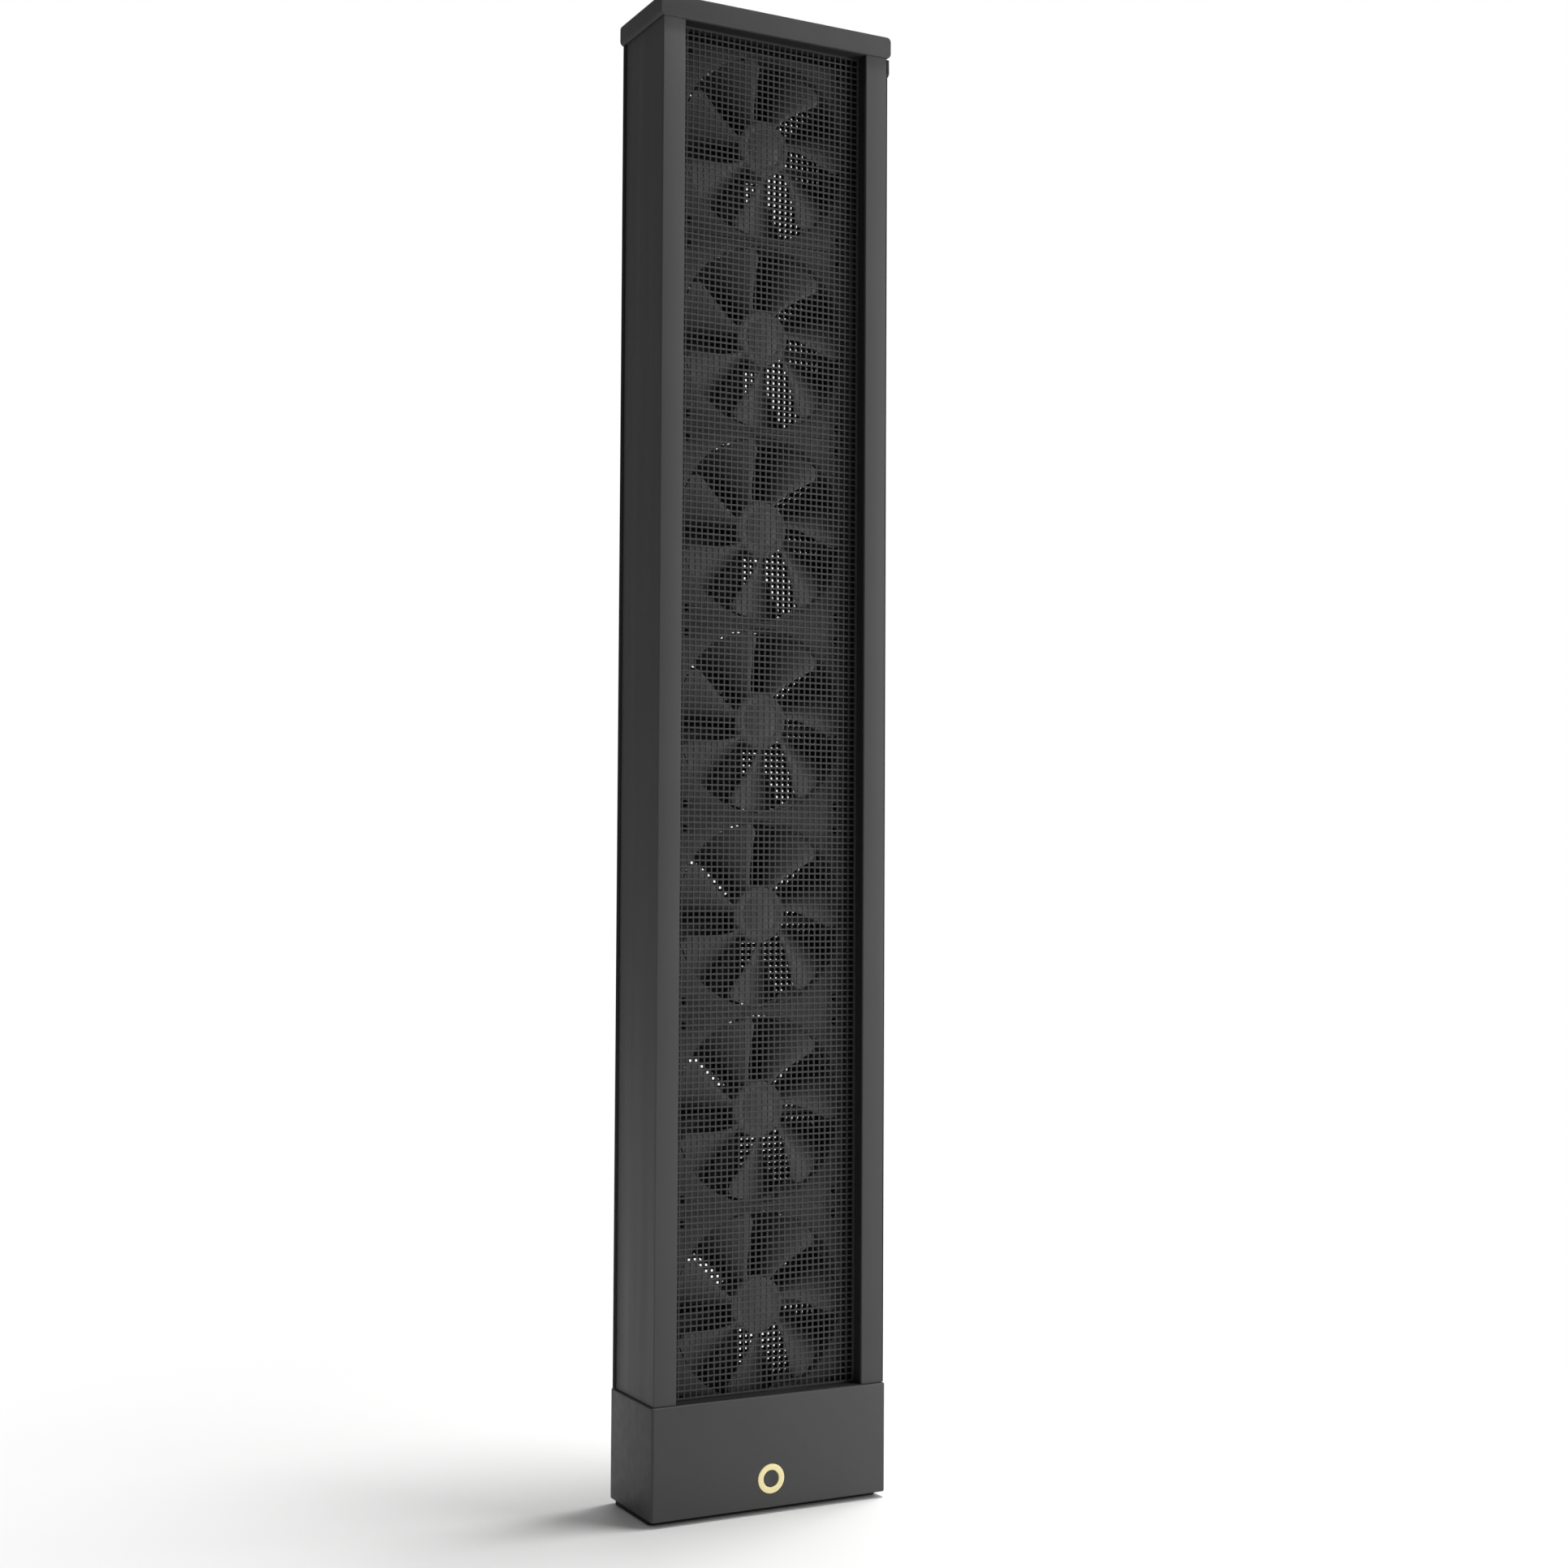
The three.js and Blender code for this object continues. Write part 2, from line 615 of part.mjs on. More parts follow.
// The cover: four walls and a deck, with a well for the lowest fan and a spigot for each stile.
function baseCoverGeometry() {
  const outline = roundedRectangle(baseHalfWidth, baseHalfDepth, BASE_CORNER, 2);
  const deckUnderside = deckHeight - BASE_WALL;
  const body = prismZ(outline, [], PAD_THICKNESS, deckHeight);
  const hollowBottom = PAD_THICKNESS - OVERRUN;
  const hollow = centredBlock(baseInnerHalfWidth, baseInnerHalfDepth, hollowBottom, deckUnderside);
  const walls = toGeometry(toSolid(body).subtract(toSolid(hollow)));

  const tubHalfWidth = wellHalfWidth + WELL_WALL;
  const tubHalfDepth = wellHalfDepth + WELL_WALL;
  const joined = [
    centredBlock(tubHalfWidth, tubHalfDepth, wellUnderside, deckHeight - BASE_WALL / 2),
  ];
  const spigotOuter = halfCase - STILE_WALL - GAP;
  const spigotInner = spigotOuter - SPIGOT_WIDTH;
  const spigotTop = deckHeight + SPIGOT_HEIGHT;
  const spigotLow = deckHeight - BASE_WALL / 2;
  const halfSpigot = SPIGOT_DEPTH / 2;
  joined.push(block([-spigotOuter, -halfSpigot, spigotLow], [-spigotInner, halfSpigot, spigotTop]));
  joined.push(block([spigotInner, -halfSpigot, spigotLow], [spigotOuter, halfSpigot, spigotTop]));
  for (const [x, y] of bossPlaces) {
    joined.push(rodZ(BOSS_RADIUS, bossBottom, deckHeight - BASE_WALL / 2, x, y, SMALL_SIDES));
  }
  const postFront = -baseHalfDepth + BASE_WALL / 2;
  const halfPost = POST_SIDE / 2;
  for (const [x, z] of postPlaces) {
    const low = [x - halfPost, postFront, boardMiddle + z - halfPost];
    const high = [x + halfPost, boardFront - GAP, boardMiddle + z + halfPost];
    joined.push(block(low, high));
  }

  const cuts = [centredBlock(wellHalfWidth, wellHalfDepth, wellFloor, deckHeight + OVERRUN)];
  for (const [x, y] of bossPlaces) {
    const holeTop = bossBottom + BOSS_HOLE_DEPTH;
    cuts.push(rodZ(screwHole, bossBottom - OVERRUN, holeTop, x, y, HOLE_SIDES));
  }
  const postHoleFront = boardFront - GAP - BOARD_SCREW_LENGTH + BOARD_THICKNESS;
  for (const [x, z] of [postPlaces[0], postPlaces[3]]) {
    const [front, back] = [postHoleFront, boardFront + OVERRUN];
    cuts.push(rodY(boardScrewHole, front, back, x, boardMiddle + z, HOLE_SIDES));
  }
  const [front, inside] = [-baseHalfDepth - OVERRUN, -baseInnerHalfDepth + OVERRUN];
  cuts.push(rodY(buttonHoleRadius, front, inside, 0, buttonCentre, BORE_SIDES));
  const ringSeat = -baseHalfDepth + RING_THICKNESS + GAP;
  cuts.push(rodY(RING_RADIUS + GAP, front, ringSeat, 0, buttonCentre, BORE_SIDES));
  const [inner, back] = [baseInnerHalfDepth - OVERRUN, baseHalfDepth + OVERRUN];
  const inletHole = INLET_NOZZLE_RADIUS + GAP;
  cuts.push(rodY(inletHole, inner, back, INLET_OFFSET, inletCentre, SMALL_SIDES));
  const [holeLow, holeHigh] = [deckUnderside - OVERRUN, deckHeight + OVERRUN];
  cuts.push(rodZ(loomHoleRadius, holeLow, holeHigh, loomX, loomY, SMALL_SIDES));
  return shaped(walls, joined, cuts);
}

place(windowFan, 'base_cover', baseCoverGeometry(), boxPlastic);

function basePlateGeometry() {
  const [halfX, halfY] = [baseInnerHalfWidth - GAP, baseInnerHalfDepth - GAP];
  const plate = centredBlock(halfX, halfY, PAD_THICKNESS, plateTop);
  const cuts = [];
  for (const [x, y] of bossPlaces) {
    const [low, high] = [PAD_THICKNESS - OVERRUN, plateTop + OVERRUN];
    cuts.push(rodZ(screwHole, low, high, x, y, HOLE_SIDES));
    const seat = PAD_THICKNESS + SCREW_HEAD_HEIGHT + GAP;
    cuts.push(rodZ(SCREW_HEAD_RADIUS + GAP, low, seat, x, y, SMALL_SIDES));
  }
  return shaped(plate, [], cuts);
}

place(windowFan, 'base_plate', basePlateGeometry(), plainPlastic);

bossPlaces.forEach(([x, y], i) => {
  const geometry = screwGeometry(SCREW_RADIUS, SCREW_HEAD_RADIUS, SCREW_LENGTH);
  const screw = place(windowFan, `base_screw_${i + 1}`, geometry, screwSteel);
  screw.rotation.x = Math.PI;
  screw.position.set(x, y, PAD_THICKNESS + SCREW_HEAD_HEIGHT);
});

// The rubber pad under the box, set back from the front.
const padGeometry = block(
  [-baseHalfWidth + PAD_SIDE_INSET, -baseHalfDepth + PAD_FRONT_INSET, 0],
  [baseHalfWidth - PAD_SIDE_INSET, baseHalfDepth - PAD_REAR_INSET, PAD_THICKNESS - GAP],
);
place(windowFan, 'base_pad', padGeometry, sealRubber);

// ---------------------------------------------------------------- button, board and inlet

const ringProfile = [
  [buttonHoleRadius, -baseHalfDepth],
  [RING_RADIUS, -baseHalfDepth],
  [RING_RADIUS, -baseHalfDepth + RING_THICKNESS],
  [buttonHoleRadius, -baseHalfDepth + RING_THICKNESS],
  [buttonHoleRadius, -baseHalfDepth],
];
place(windowFan, 'button_ring', turned(ringProfile, BORE_SIDES), ringGold).position.z = buttonCentre;

// The cap slides in the cover's hole and is kept in by its flange.
const buttonProfile = [
  [0, -baseHalfDepth + BUTTON_SET_BACK],
  [BUTTON_RADIUS, -baseHalfDepth + BUTTON_SET_BACK],
  [BUTTON_RADIUS, -baseInnerHalfDepth + GAP],
  [BUTTON_FLANGE_RADIUS, -baseInnerHalfDepth + GAP],
  [BUTTON_FLANGE_RADIUS, buttonBack],
  [0, buttonBack],
];
const buttonCap = place(windowFan, 'button_cap', turned(buttonProfile, 2 * SMALL_SIDES), boxPlastic);
buttonCap.position.z = buttonCentre;

const switchFront = buttonBack + BUTTON_TRAVEL + GAP;
const switchGeometry = block(
  [-SWITCH_SIDE / 2, switchFront, buttonCentre - SWITCH_SIDE / 2],
  [SWITCH_SIDE / 2, boardFront - GAP, buttonCentre + SWITCH_SIDE / 2],
);
place(windowFan, 'button_switch', switchGeometry, plainPlastic);

function boardGeometry() {
  const half = BOARD_WIDTH / 2;
  const board = block([-half, boardFront, boardBottom], [half, boardBack, boardBottom + BOARD_HEIGHT]);
  const cuts = [postPlaces[0], postPlaces[3]].map(([x, z]) => {
    const [front, back] = [boardFront - OVERRUN, boardBack + OVERRUN];
    return rodY(boardScrewHole, front, back, x, boardMiddle + z, HOLE_SIDES);
  });
  return shaped(board, [], cuts);
}

place(windowFan, 'control_board', boardGeometry(), boardGreen);

[postPlaces[0], postPlaces[3]].forEach(([x, z], i) => {
  const length = BOARD_SCREW_LENGTH;
  const geometry = screwGeometry(BOARD_SCREW_RADIUS, BOARD_SCREW_HEAD_RADIUS, length);
  const screw = place(windowFan, `board_screw_${i + 1}`, geometry, screwSteel);
  screw.rotation.x = -Math.PI / 2;
  screw.position.set(x, boardBack + GAP, boardMiddle + z);
});

// The inlet: a housing behind the rear wall, its nozzle in the wall and a pin down its bore.
function inletGeometry() {
  const [x, z] = [INLET_OFFSET, inletCentre];
  const half = INLET_SIDE / 2;
  const housingBack = baseInnerHalfDepth - GAP;
  const housingFront = housingBack - INLET_LENGTH;
  const mouth = baseHalfDepth - GAP;
  const housing = block([x - half, housingFront, z - half], [x + half, housingBack, z + half]);
  const nozzle = rodY(INLET_NOZZLE_RADIUS, housingBack - OVERRUN, mouth, x, z, SMALL_SIDES);
  const boreFront = mouth - INLET_BORE_DEPTH;
  const bore = rodY(INLET_BORE_RADIUS, boreFront, mouth + OVERRUN, x, z, SMALL_SIDES);
  const pin = rodY(INLET_PIN_RADIUS, boreFront - OVERRUN, mouth - OVERRUN, x, z, HOLE_SIDES);
  const drilled = shaped(housing, [nozzle], [bore]);
  return shaped(drilled, [pin], []);
}

place(windowFan, 'power_inlet', inletGeometry(), plainPlastic);

// ---------------------------------------------------------------- wiring

// The loom leaves the board, passes under the well and climbs beside the left stile, between its
// rear lip and the rear mesh.
const loomEnd = boardBack + GAP;
const loomRoute = [
  [loomX, loomY, wellUnderside + 2],
  [loomX, loomY, wellUnderside - 1],
  [loomX + 1, loomY - 1, wellUnderside - 6],
  [loomX + 5, loomY - 6, wellUnderside - 12],
  [loomX + 14, loomY - 16, wellUnderside - 19],
  [loomX + 24, loomY - 26, boardMiddle + 8],
  [loomX + 33, loomY - 32, boardMiddle + 5],
  [loomX + 40, loomEnd + 2, boardMiddle + 3],
  [loomX + 40, loomEnd, boardMiddle + 3],
];

// The branch to one fan rounds the stile's lip and follows the fan's left strut to the motor.
function branchRoute(z) {
  const lipEnd = fanEdge + FAN_LIP_REACH;
  const branchY = halfFanDepth + GAP + LOOM_BRANCH_RADIUS;
  const middleY = (loomY + branchY) / 2;
  return [
    [loomX, loomY, z],
    [lipEnd, loomY, z],
    [lipEnd + 3, middleY, z],
    [lipEnd + 6, branchY, z],
    [lipEnd + 9, branchY, z],
    [-MOTOR_PLATE_RADIUS - 3, branchY, z],
    [-MOTOR_PLATE_RADIUS + 5, branchY, z],
  ];
}

function loomGeometry() {
  const trunkLow = loomRoute[0][2] - OVERRUN;
  const trunkHigh = fanHeight(FAN_COUNT) + 2 * LOOM_BRANCH_RADIUS;
  const trunk = rodZ(LOOM_RADIUS, trunkLow, trunkHigh, loomX, loomY, HOLE_SIDES);
  const joined = [lead(loomRoute, LOOM_RADIUS, 2 * loomRoute.length - 2)];
  for (let number = 1; number <= FAN_COUNT; number += 1) {
    const route = branchRoute(fanHeight(number));
    joined.push(lead(route, LOOM_BRANCH_RADIUS, 2 * route.length - 2));
  }
  return shaped(trunk, joined, []);
}

place(windowFan, 'wire_loom', loomGeometry(), wireSheath);

// The lead from the inlet to the board.
const inletFront = baseInnerHalfDepth - GAP - INLET_LENGTH;
const powerRoute = [
  [INLET_OFFSET, inletFront - GAP, inletCentre],
  [INLET_OFFSET, inletFront - 4, inletCentre],
  [INLET_OFFSET - 6, inletFront - 13, inletCentre + 2],
  [INLET_OFFSET - 18, inletFront - 23, inletCentre + 5],
  [INLET_OFFSET - 26, boardBack + 6, inletCentre + 7],
  [INLET_OFFSET - 28, boardBack + 2, inletCentre + 7],
  [INLET_OFFSET - 28, boardBack + GAP, inletCentre + 7],
];
const powerLead = lead(powerRoute, LEAD_RADIUS, 2 * powerRoute.length - 2);
place(windowFan, 'power_lead', sealed(powerLead), wireSheath);

// ---------------------------------------------------------------- fans

// The square frame with its bore, corner holes, rear struts, motor plate and bearing tube.
function fanFrameGeometry() {
  const outline = roundedRectangle(halfFan, halfFan, FAN_CORNER, 1);
  const halfSpacing = FAN_PITCH / 2 - FAN_HOLE_INSET;
  const holes = [circle(fanBoreRadius, BORE_SIDES)];
  for (const [x, z] of [[-1, -1], [1, -1], [-1, 1], [1, 1]]) {
    holes.push(circle(FAN_HOLE_RADIUS, HOLE_SIDES, x * halfSpacing, z * halfSpacing));
  }
  const frame = prismY(outline, holes, -halfFanDepth, halfFanDepth);
  const tubeFront = motorPlateFront - BEARING_TUBE_LENGTH;
  const motorPlate = turned([
    [0, halfFanDepth],
    [MOTOR_PLATE_RADIUS, halfFanDepth],
    [MOTOR_PLATE_RADIUS, motorPlateFront],
    [BEARING_TUBE_RADIUS, motorPlateFront],
    [BEARING_TUBE_RADIUS, tubeFront],
    [bearingTubeBore, tubeFront],
    [bearingTubeBore, bearingSeat],
    [0, bearingSeat],
  ], SMALL_SIDES);
  const joined = [motorPlate];
  for (let i = 0; i < STRUT_COUNT; i += 1) {
    const [inner, outer] = [MOTOR_PLATE_RADIUS - OVERRUN, fanBoreRadius + OVERRUN / 2];
    const half = STRUT_WIDTH / 2;
    const strut = block([inner, motorPlateFront, -half], [outer, halfFanDepth, half]);
    joined.push(strut.rotateY((2 * Math.PI * i) / STRUT_COUNT));
  }
  return shaped(frame, joined, []);
}

// One blade, from its root inside the hub's wall to its tip. Its front edge leads clockwise,
// swept back towards the tip, and it recedes anticlockwise to its rear edge, ever more steeply.
function bladeGeometry() {
  const spans = 2;
  const steps = 4;
  const rootRadius = HUB_RADIUS - HUB_WALL / 2;
  const front = hubFront + BLADE_SET_BACK;

  function surface(span, along, target) {
    const radius = rootRadius + span * (bladeTipRadius - rootRadius);
    const chord = BLADE_ROOT_CHORD_DEG + span * (BLADE_TIP_CHORD_DEG - BLADE_ROOT_CHORD_DEG);
    const angle = radians(FIRST_BLADE_DEG + (1 - span) * BLADE_SWEEP_DEG + along * chord);
    const y = front + BLADE_AXIAL_LENGTH * along ** BLADE_CURL;
    return target.set(radius * Math.cos(angle), y, radius * Math.sin(angle));
  }

  function normal(span, along) {
    const reach = 0.01;
    const [a, b, c] = [new THREE.Vector3(), new THREE.Vector3(), new THREE.Vector3()];
    surface(span, along, a);
    surface(span + reach, along, b).sub(a);
    surface(span, along + reach, c).sub(a);
    return b.cross(c).normalize();
  }

  const layers = [];
  for (const side of [-1, 1]) {
    const layer = [];
    for (let i = 0; i <= spans; i += 1) {
      for (let j = 0; j <= steps; j += 1) {
        const edge = j === 0 || j === steps ? 0.5 : 1;
        const offset = (side * edge * BLADE_THICKNESS) / 2;
        const point = surface(i / spans, j / steps, new THREE.Vector3());
        layer.push(point.addScaledVector(normal(i / spans, j / steps), offset));
      }
    }
    layers.push(layer);
  }

  const corners = [];
  const quad = (a, b, c, d) => corners.push(a, b, c, a, c, d);
  const row = steps + 1;
  const [under, over] = layers;
  for (let i = 0; i < spans; i += 1) {
    for (let j = 0; j < steps; j += 1) {
      const k = i * row + j;
      quad(over[k], over[k + row], over[k + row + 1], over[k + 1]);
      quad(under[k], under[k + 1], under[k + row + 1], under[k + row]);
    }
  }
  for (let j = 0; j < steps; j += 1) {
    const [root, tip] = [j, spans * row + j];
    quad(over[root], over[root + 1], under[root + 1], under[root]);
    quad(over[tip + 1], over[tip], under[tip], under[tip + 1]);
  }
  for (let i = 0; i < spans; i += 1) {
    const [near, far] = [i * row, i * row + steps];
    quad(over[near + row], over[near], under[near], under[near + row]);
    quad(over[far], over[far + row], under[far + row], under[far]);
  }
  return new THREE.BufferGeometry().setFromPoints(corners);
}

// The impeller: a cup-shaped hub, its shaft and the blades.
function impellerGeometry() {
  const shaftEnd = bearingSeat - 2 * GAP;
  const hub = turned([
    [0, hubFront],
    [HUB_RADIUS - HUB_ROUNDING, hubFront],
    [HUB_RADIUS, hubFront + HUB_ROUNDING],
    [HUB_RADIUS, hubBack],
    [HUB_RADIUS - HUB_WALL, hubBack],
    [HUB_RADIUS - HUB_WALL, hubFront + HUB_FRONT_WALL],
    [SHAFT_RADIUS, hubFront + HUB_FRONT_WALL],
    [SHAFT_RADIUS, shaftEnd],
    [0, shaftEnd],
  ], HUB_SIDES);
  const blades = [];
  for (let i = 0; i < BLADE_COUNT; i += 1) {
    blades.push(bladeGeometry().rotateY((2 * Math.PI * i) / BLADE_COUNT));
  }
  return shaped(hub, blades, []);
}

// The stator: a star of four poles around the bearing tube.
function statorGeometry() {
  const half = STATOR_POLE_WIDTH / 2;
  const outline = [];
  for (let pole = 0; pole < 4; pole += 1) {
    const turn = (pole * Math.PI) / 2;
    const [cos, sin] = [Math.cos(turn), Math.sin(turn)];
    const inner = Math.sqrt(STATOR_CORE_RADIUS ** 2 - half ** 2);
    const outer = Math.sqrt(STATOR_RADIUS ** 2 - half ** 2);
    for (const [x, z] of [[inner, -half], [outer, -half], [STATOR_RADIUS, 0], [outer, half], [inner, half]]) {
      outline.push([x * cos - z * sin, x * sin + z * cos]);
    }
  }
  const back = motorPlateFront - GAP;
  const bore = circle(BEARING_TUBE_RADIUS + GAP, SMALL_SIDES);
  return prismY(outline, [bore], back - STATOR_THICKNESS, back);
}

function bearingGeometry() {
  const back = bearingSeat - GAP;
  const front = back - BEARING_LENGTH;
  return turned([
    [bearingBore, front],
    [BEARING_RADIUS, front],
    [BEARING_RADIUS, back],
    [bearingBore, back],
    [bearingBore, front],
  ], SMALL_SIDES);
}

for (let number = 1; number <= FAN_COUNT; number += 1) {
  const fan = new THREE.Group();
  fan.position.z = fanHeight(number);
  place(fan, `fan_frame_${number}`, fanFrameGeometry(), fanPlastic);
  place(fan, `impeller_${number}`, impellerGeometry(), fanPlastic);
  place(fan, `stator_${number}`, statorGeometry(), coilCopper);
  place(fan, `bearing_${number}`, bearingGeometry(), bearingBronze);
  windowFan.add(fan);
}

export default windowFan;
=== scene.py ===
"""A slim tower fan for a sliding window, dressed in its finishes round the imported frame.

The frame gives every place and size. Lengths are in millimetres up to the point where a mesh is
made; the meshes themselves, the camera, the lights and the floor's fade are in metres.
"""

import json
import math

import bmesh
import bpy
from mathutils import Matrix, Vector
from mathutils.geometry import tessellate_polygon


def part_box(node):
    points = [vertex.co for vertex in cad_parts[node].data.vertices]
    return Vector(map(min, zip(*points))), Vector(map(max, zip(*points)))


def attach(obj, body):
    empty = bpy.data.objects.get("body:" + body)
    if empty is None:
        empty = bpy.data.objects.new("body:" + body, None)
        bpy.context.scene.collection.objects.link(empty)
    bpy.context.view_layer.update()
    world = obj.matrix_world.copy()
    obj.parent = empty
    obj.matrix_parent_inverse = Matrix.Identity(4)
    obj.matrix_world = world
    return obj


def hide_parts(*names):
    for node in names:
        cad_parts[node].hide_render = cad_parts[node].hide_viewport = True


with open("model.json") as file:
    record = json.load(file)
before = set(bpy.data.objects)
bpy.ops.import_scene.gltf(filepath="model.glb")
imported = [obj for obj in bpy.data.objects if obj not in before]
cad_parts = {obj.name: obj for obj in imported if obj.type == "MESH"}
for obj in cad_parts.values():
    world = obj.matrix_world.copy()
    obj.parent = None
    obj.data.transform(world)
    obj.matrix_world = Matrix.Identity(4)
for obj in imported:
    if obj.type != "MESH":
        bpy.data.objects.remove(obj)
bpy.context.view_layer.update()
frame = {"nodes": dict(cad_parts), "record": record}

MM = 0.001
TINY = 1e-6
CASE = "case"
FAN_NUMBERS = range(1, 8)


def box_mm(node):
    """Lowest and highest corner of a CAD node, in millimetres."""
    low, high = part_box(node)
    return low / MM, high / MM


# ---------------------------------------------------------------- meshes

SIDE_SHARE = 0.49  # of a side, the most that an arc at its end may take
SHARPEST_MITRE = 0.3
SHARP_EDGE = math.radians(40)
BEVEL_SEGMENTS = 5
CUTTER_REACH = 5  # how far a cutter reaches past the surface that it cuts


def linked(name, data):
    """A new object in the scene."""
    made = bpy.data.objects.new(name, data)
    bpy.context.scene.collection.objects.link(made)
    return made


def arc(centre, radius, start, end, steps):
    """Points on an arc in the drawing's own plane, angles in degrees."""
    points = []
    for i in range(steps + 1):
        angle = math.radians(start + (end - start) * i / steps)
        across, up = radius * math.cos(angle), radius * math.sin(angle)
        points.append((centre[0] + across, centre[1] + up))
    return points


def circle(radius, sides, centre=(0, 0)):
    return arc(centre, radius, 0, 360, sides)[:-1]


def rounded(corners, radius, steps=4):
    """The outline with an arc in place of each corner; a corner may bring its own radius."""
    points = []
    count = len(corners)
    for i, corner in enumerate(corners):
        here = Vector(corner[:2])
        back = Vector(corners[i - 1][:2]) - here
        ahead = Vector(corners[(i + 1) % count][:2]) - here
        own = corner[2] if len(corner) > 2 else radius
        half_angle = back.angle(ahead) / 2
        room = min(back.length * SIDE_SHARE, ahead.length * SIDE_SHARE)
        reach = min(own / math.tan(half_angle), room)
        if reach < TINY:
            points.append(tuple(here))
            continue
        own = reach * math.tan(half_angle)
        inward = (back.normalized() + ahead.normalized()).normalized()
        middle = here + inward * (own / math.sin(half_angle))
        start = here + back.normalized() * reach - middle
        end = here + ahead.normalized() * reach - middle
        turn = start.angle_signed(end)
        for k in range(steps + 1):
            rotation = Matrix.Rotation(-turn * k / steps, 2)
            points.append(tuple(middle + rotation @ start))
    return points


def rectangle(low, high):
    return [(low[0], low[1]), (high[0], low[1]), (high[0], high[1]), (low[0], high[1])]


def signed_area(points):
    return sum(
        a[0] * b[1] - b[0] * a[1] for a, b in zip(points, points[1:] + points[:1])
    ) / 2


def inset(points, distance):
    """The outline moved into the material on its left by that distance."""
    moved = []
    for i, point in enumerate(points):
        here = Vector(point)
        before = (here - Vector(points[i - 1])).normalized()
        after = (Vector(points[(i + 1) % len(points)]) - here).normalized()
        normal = (before.orthogonal() + after.orthogonal()).normalized()
        stretch = max(SHARPEST_MITRE, normal.dot(before.orthogonal()))
        moved.append(here + normal * (distance / stretch))
    return moved


def placed(axis, u, v, w):
    """A point drawn at (u, v) and lifted by w, for a body that is extruded along that axis."""
    return {"X": (w, u, v), "Y": (u, w, v), "Z": (u, v, w)}[axis]


def closed_mesh(bm, name):
    """The finished mesh, in metres and with its faces pointing out."""
    bmesh.ops.recalc_face_normals(bm, faces=bm.faces)
    bmesh.ops.scale(bm, vec=(MM, MM, MM), verts=bm.verts)
    mesh = bpy.data.meshes.new(name)
    bm.to_mesh(mesh)
    bm.free()
    return mesh


def add_prism(bm, axis, outlines, low, high, rim=0, steps=3):
    """An outline and any holes after it, extruded along the axis with a rounded rim at each end."""
    loops = []
    for number, outline in enumerate(outlines):
        outward = signed_area(outline) > 0
        loops.append(list(outline) if outward == (number == 0) else list(reversed(outline)))
    levels = [(0, low)]
    if rim:
        levels = [(rim * (1 - math.sin(t)), low + rim * (1 - math.cos(t)))
                  for t in (math.pi / 2 * k / steps for k in range(steps + 1))]
    levels += [(distance, low + high - height) for distance, height in reversed(levels)]
    rings = []
    for distance, height in levels:
        flats = [inset(loop, distance) if distance else [Vector(p) for p in loop] for loop in loops]
        rings.append([
            [bm.verts.new(placed(axis, p.x, p.y, height)) for p in flat] for flat in flats
        ])
        if len(rings) == 1:
            caps = tessellate_polygon([[Vector((p.x, p.y, 0)) for p in flat] for flat in flats])
    for near, far in zip(rings, rings[1:]):
        for loop_near, loop_far in zip(near, far):
            for i in range(len(loop_near)):
                bm.faces.new((loop_near[i - 1], loop_near[i], loop_far[i], loop_far[i - 1]))
    for ring in (rings[0], rings[-1]):
        corners = [vertex for loop in ring for vertex in loop]
        for triangle in caps:
            bm.faces.new([corners[i] for i in triangle])


def prism(name, axis, outlines, low, high, rim=0, steps=3):
    bm = bmesh.new()
    add_prism(bm, axis, outlines, low, high, rim, steps)
    return closed_mesh(bm, name)


def add_turned(bm, profile, sides, axis="Y"):
    """A profile of (radius, along) turned about the axis; it ends there or closes on itself."""
    closes = profile[0] == profile[-1] and profile[0][0] > 0
    rings = []
    for radius, along in profile[:-1] if closes else profile:
        ring = []
        for i in range(sides if radius > TINY else 1):
            angle = 2 * math.pi * i / sides
            point = placed(axis, radius * math.cos(angle), radius * math.sin(angle), along)
            ring.append(bm.verts.new(point))
        rings.append(ring)
    pairs = list(zip(rings, rings[1:])) + ([(rings[-1], rings[0])] if closes else [])
    for near, far in pairs:
        for i in range(sides):
            corners = (near[i % len(near)], near[(i + 1) % sides % len(near)],
                       far[(i + 1) % sides % len(far)], far[i % len(far)])
            bm.faces.new(list(dict.fromkeys(corners)))


def turned(name, profile, sides):
    bm = bmesh.new()
    add_turned(bm, profile, sides)
    return closed_mesh(bm, name)


def round_end(radius, along, rim, steps=4):
    """Profile points of a rounded rim: from the flat end, inside the radius, to the side wall."""
    return [(radius - rim + rim * math.sin(t), along + rim * (1 - math.cos(t)))
            for t in (math.pi / 2 * k / steps for k in range(steps + 1))]


def block(name, low, high, edge=0.0, corners=0.0, corner_axis=2):
    """A block with rounded edges; the four edges along one axis may have a larger radius."""
    bm = bmesh.new()
    bmesh.ops.create_cube(bm, size=1)
    size = Vector(high) - Vector(low)
    bmesh.ops.scale(bm, vec=size, verts=bm.verts)
    bmesh.ops.translate(bm, vec=(Vector(high) + Vector(low)) / 2, verts=bm.verts)
    for radius, wanted in ((corners, True), (edge, False)):
        if not radius:
            continue
        bm.normal_update()
        chosen = []
        for item in bm.edges:
            along = item.verts[1].co - item.verts[0].co
            is_corner = abs(along[corner_axis]) > 0.9 * size[corner_axis]
            is_sharp = item.calc_face_angle(0) > SHARP_EDGE
            if is_sharp and (is_corner == wanted or not corners):
                chosen.append(item)
        bmesh.ops.bevel(
            bm, geom=chosen, offset=radius, segments=BEVEL_SEGMENTS, profile=0.5, affect="EDGES"
        )
    return closed_mesh(bm, name)


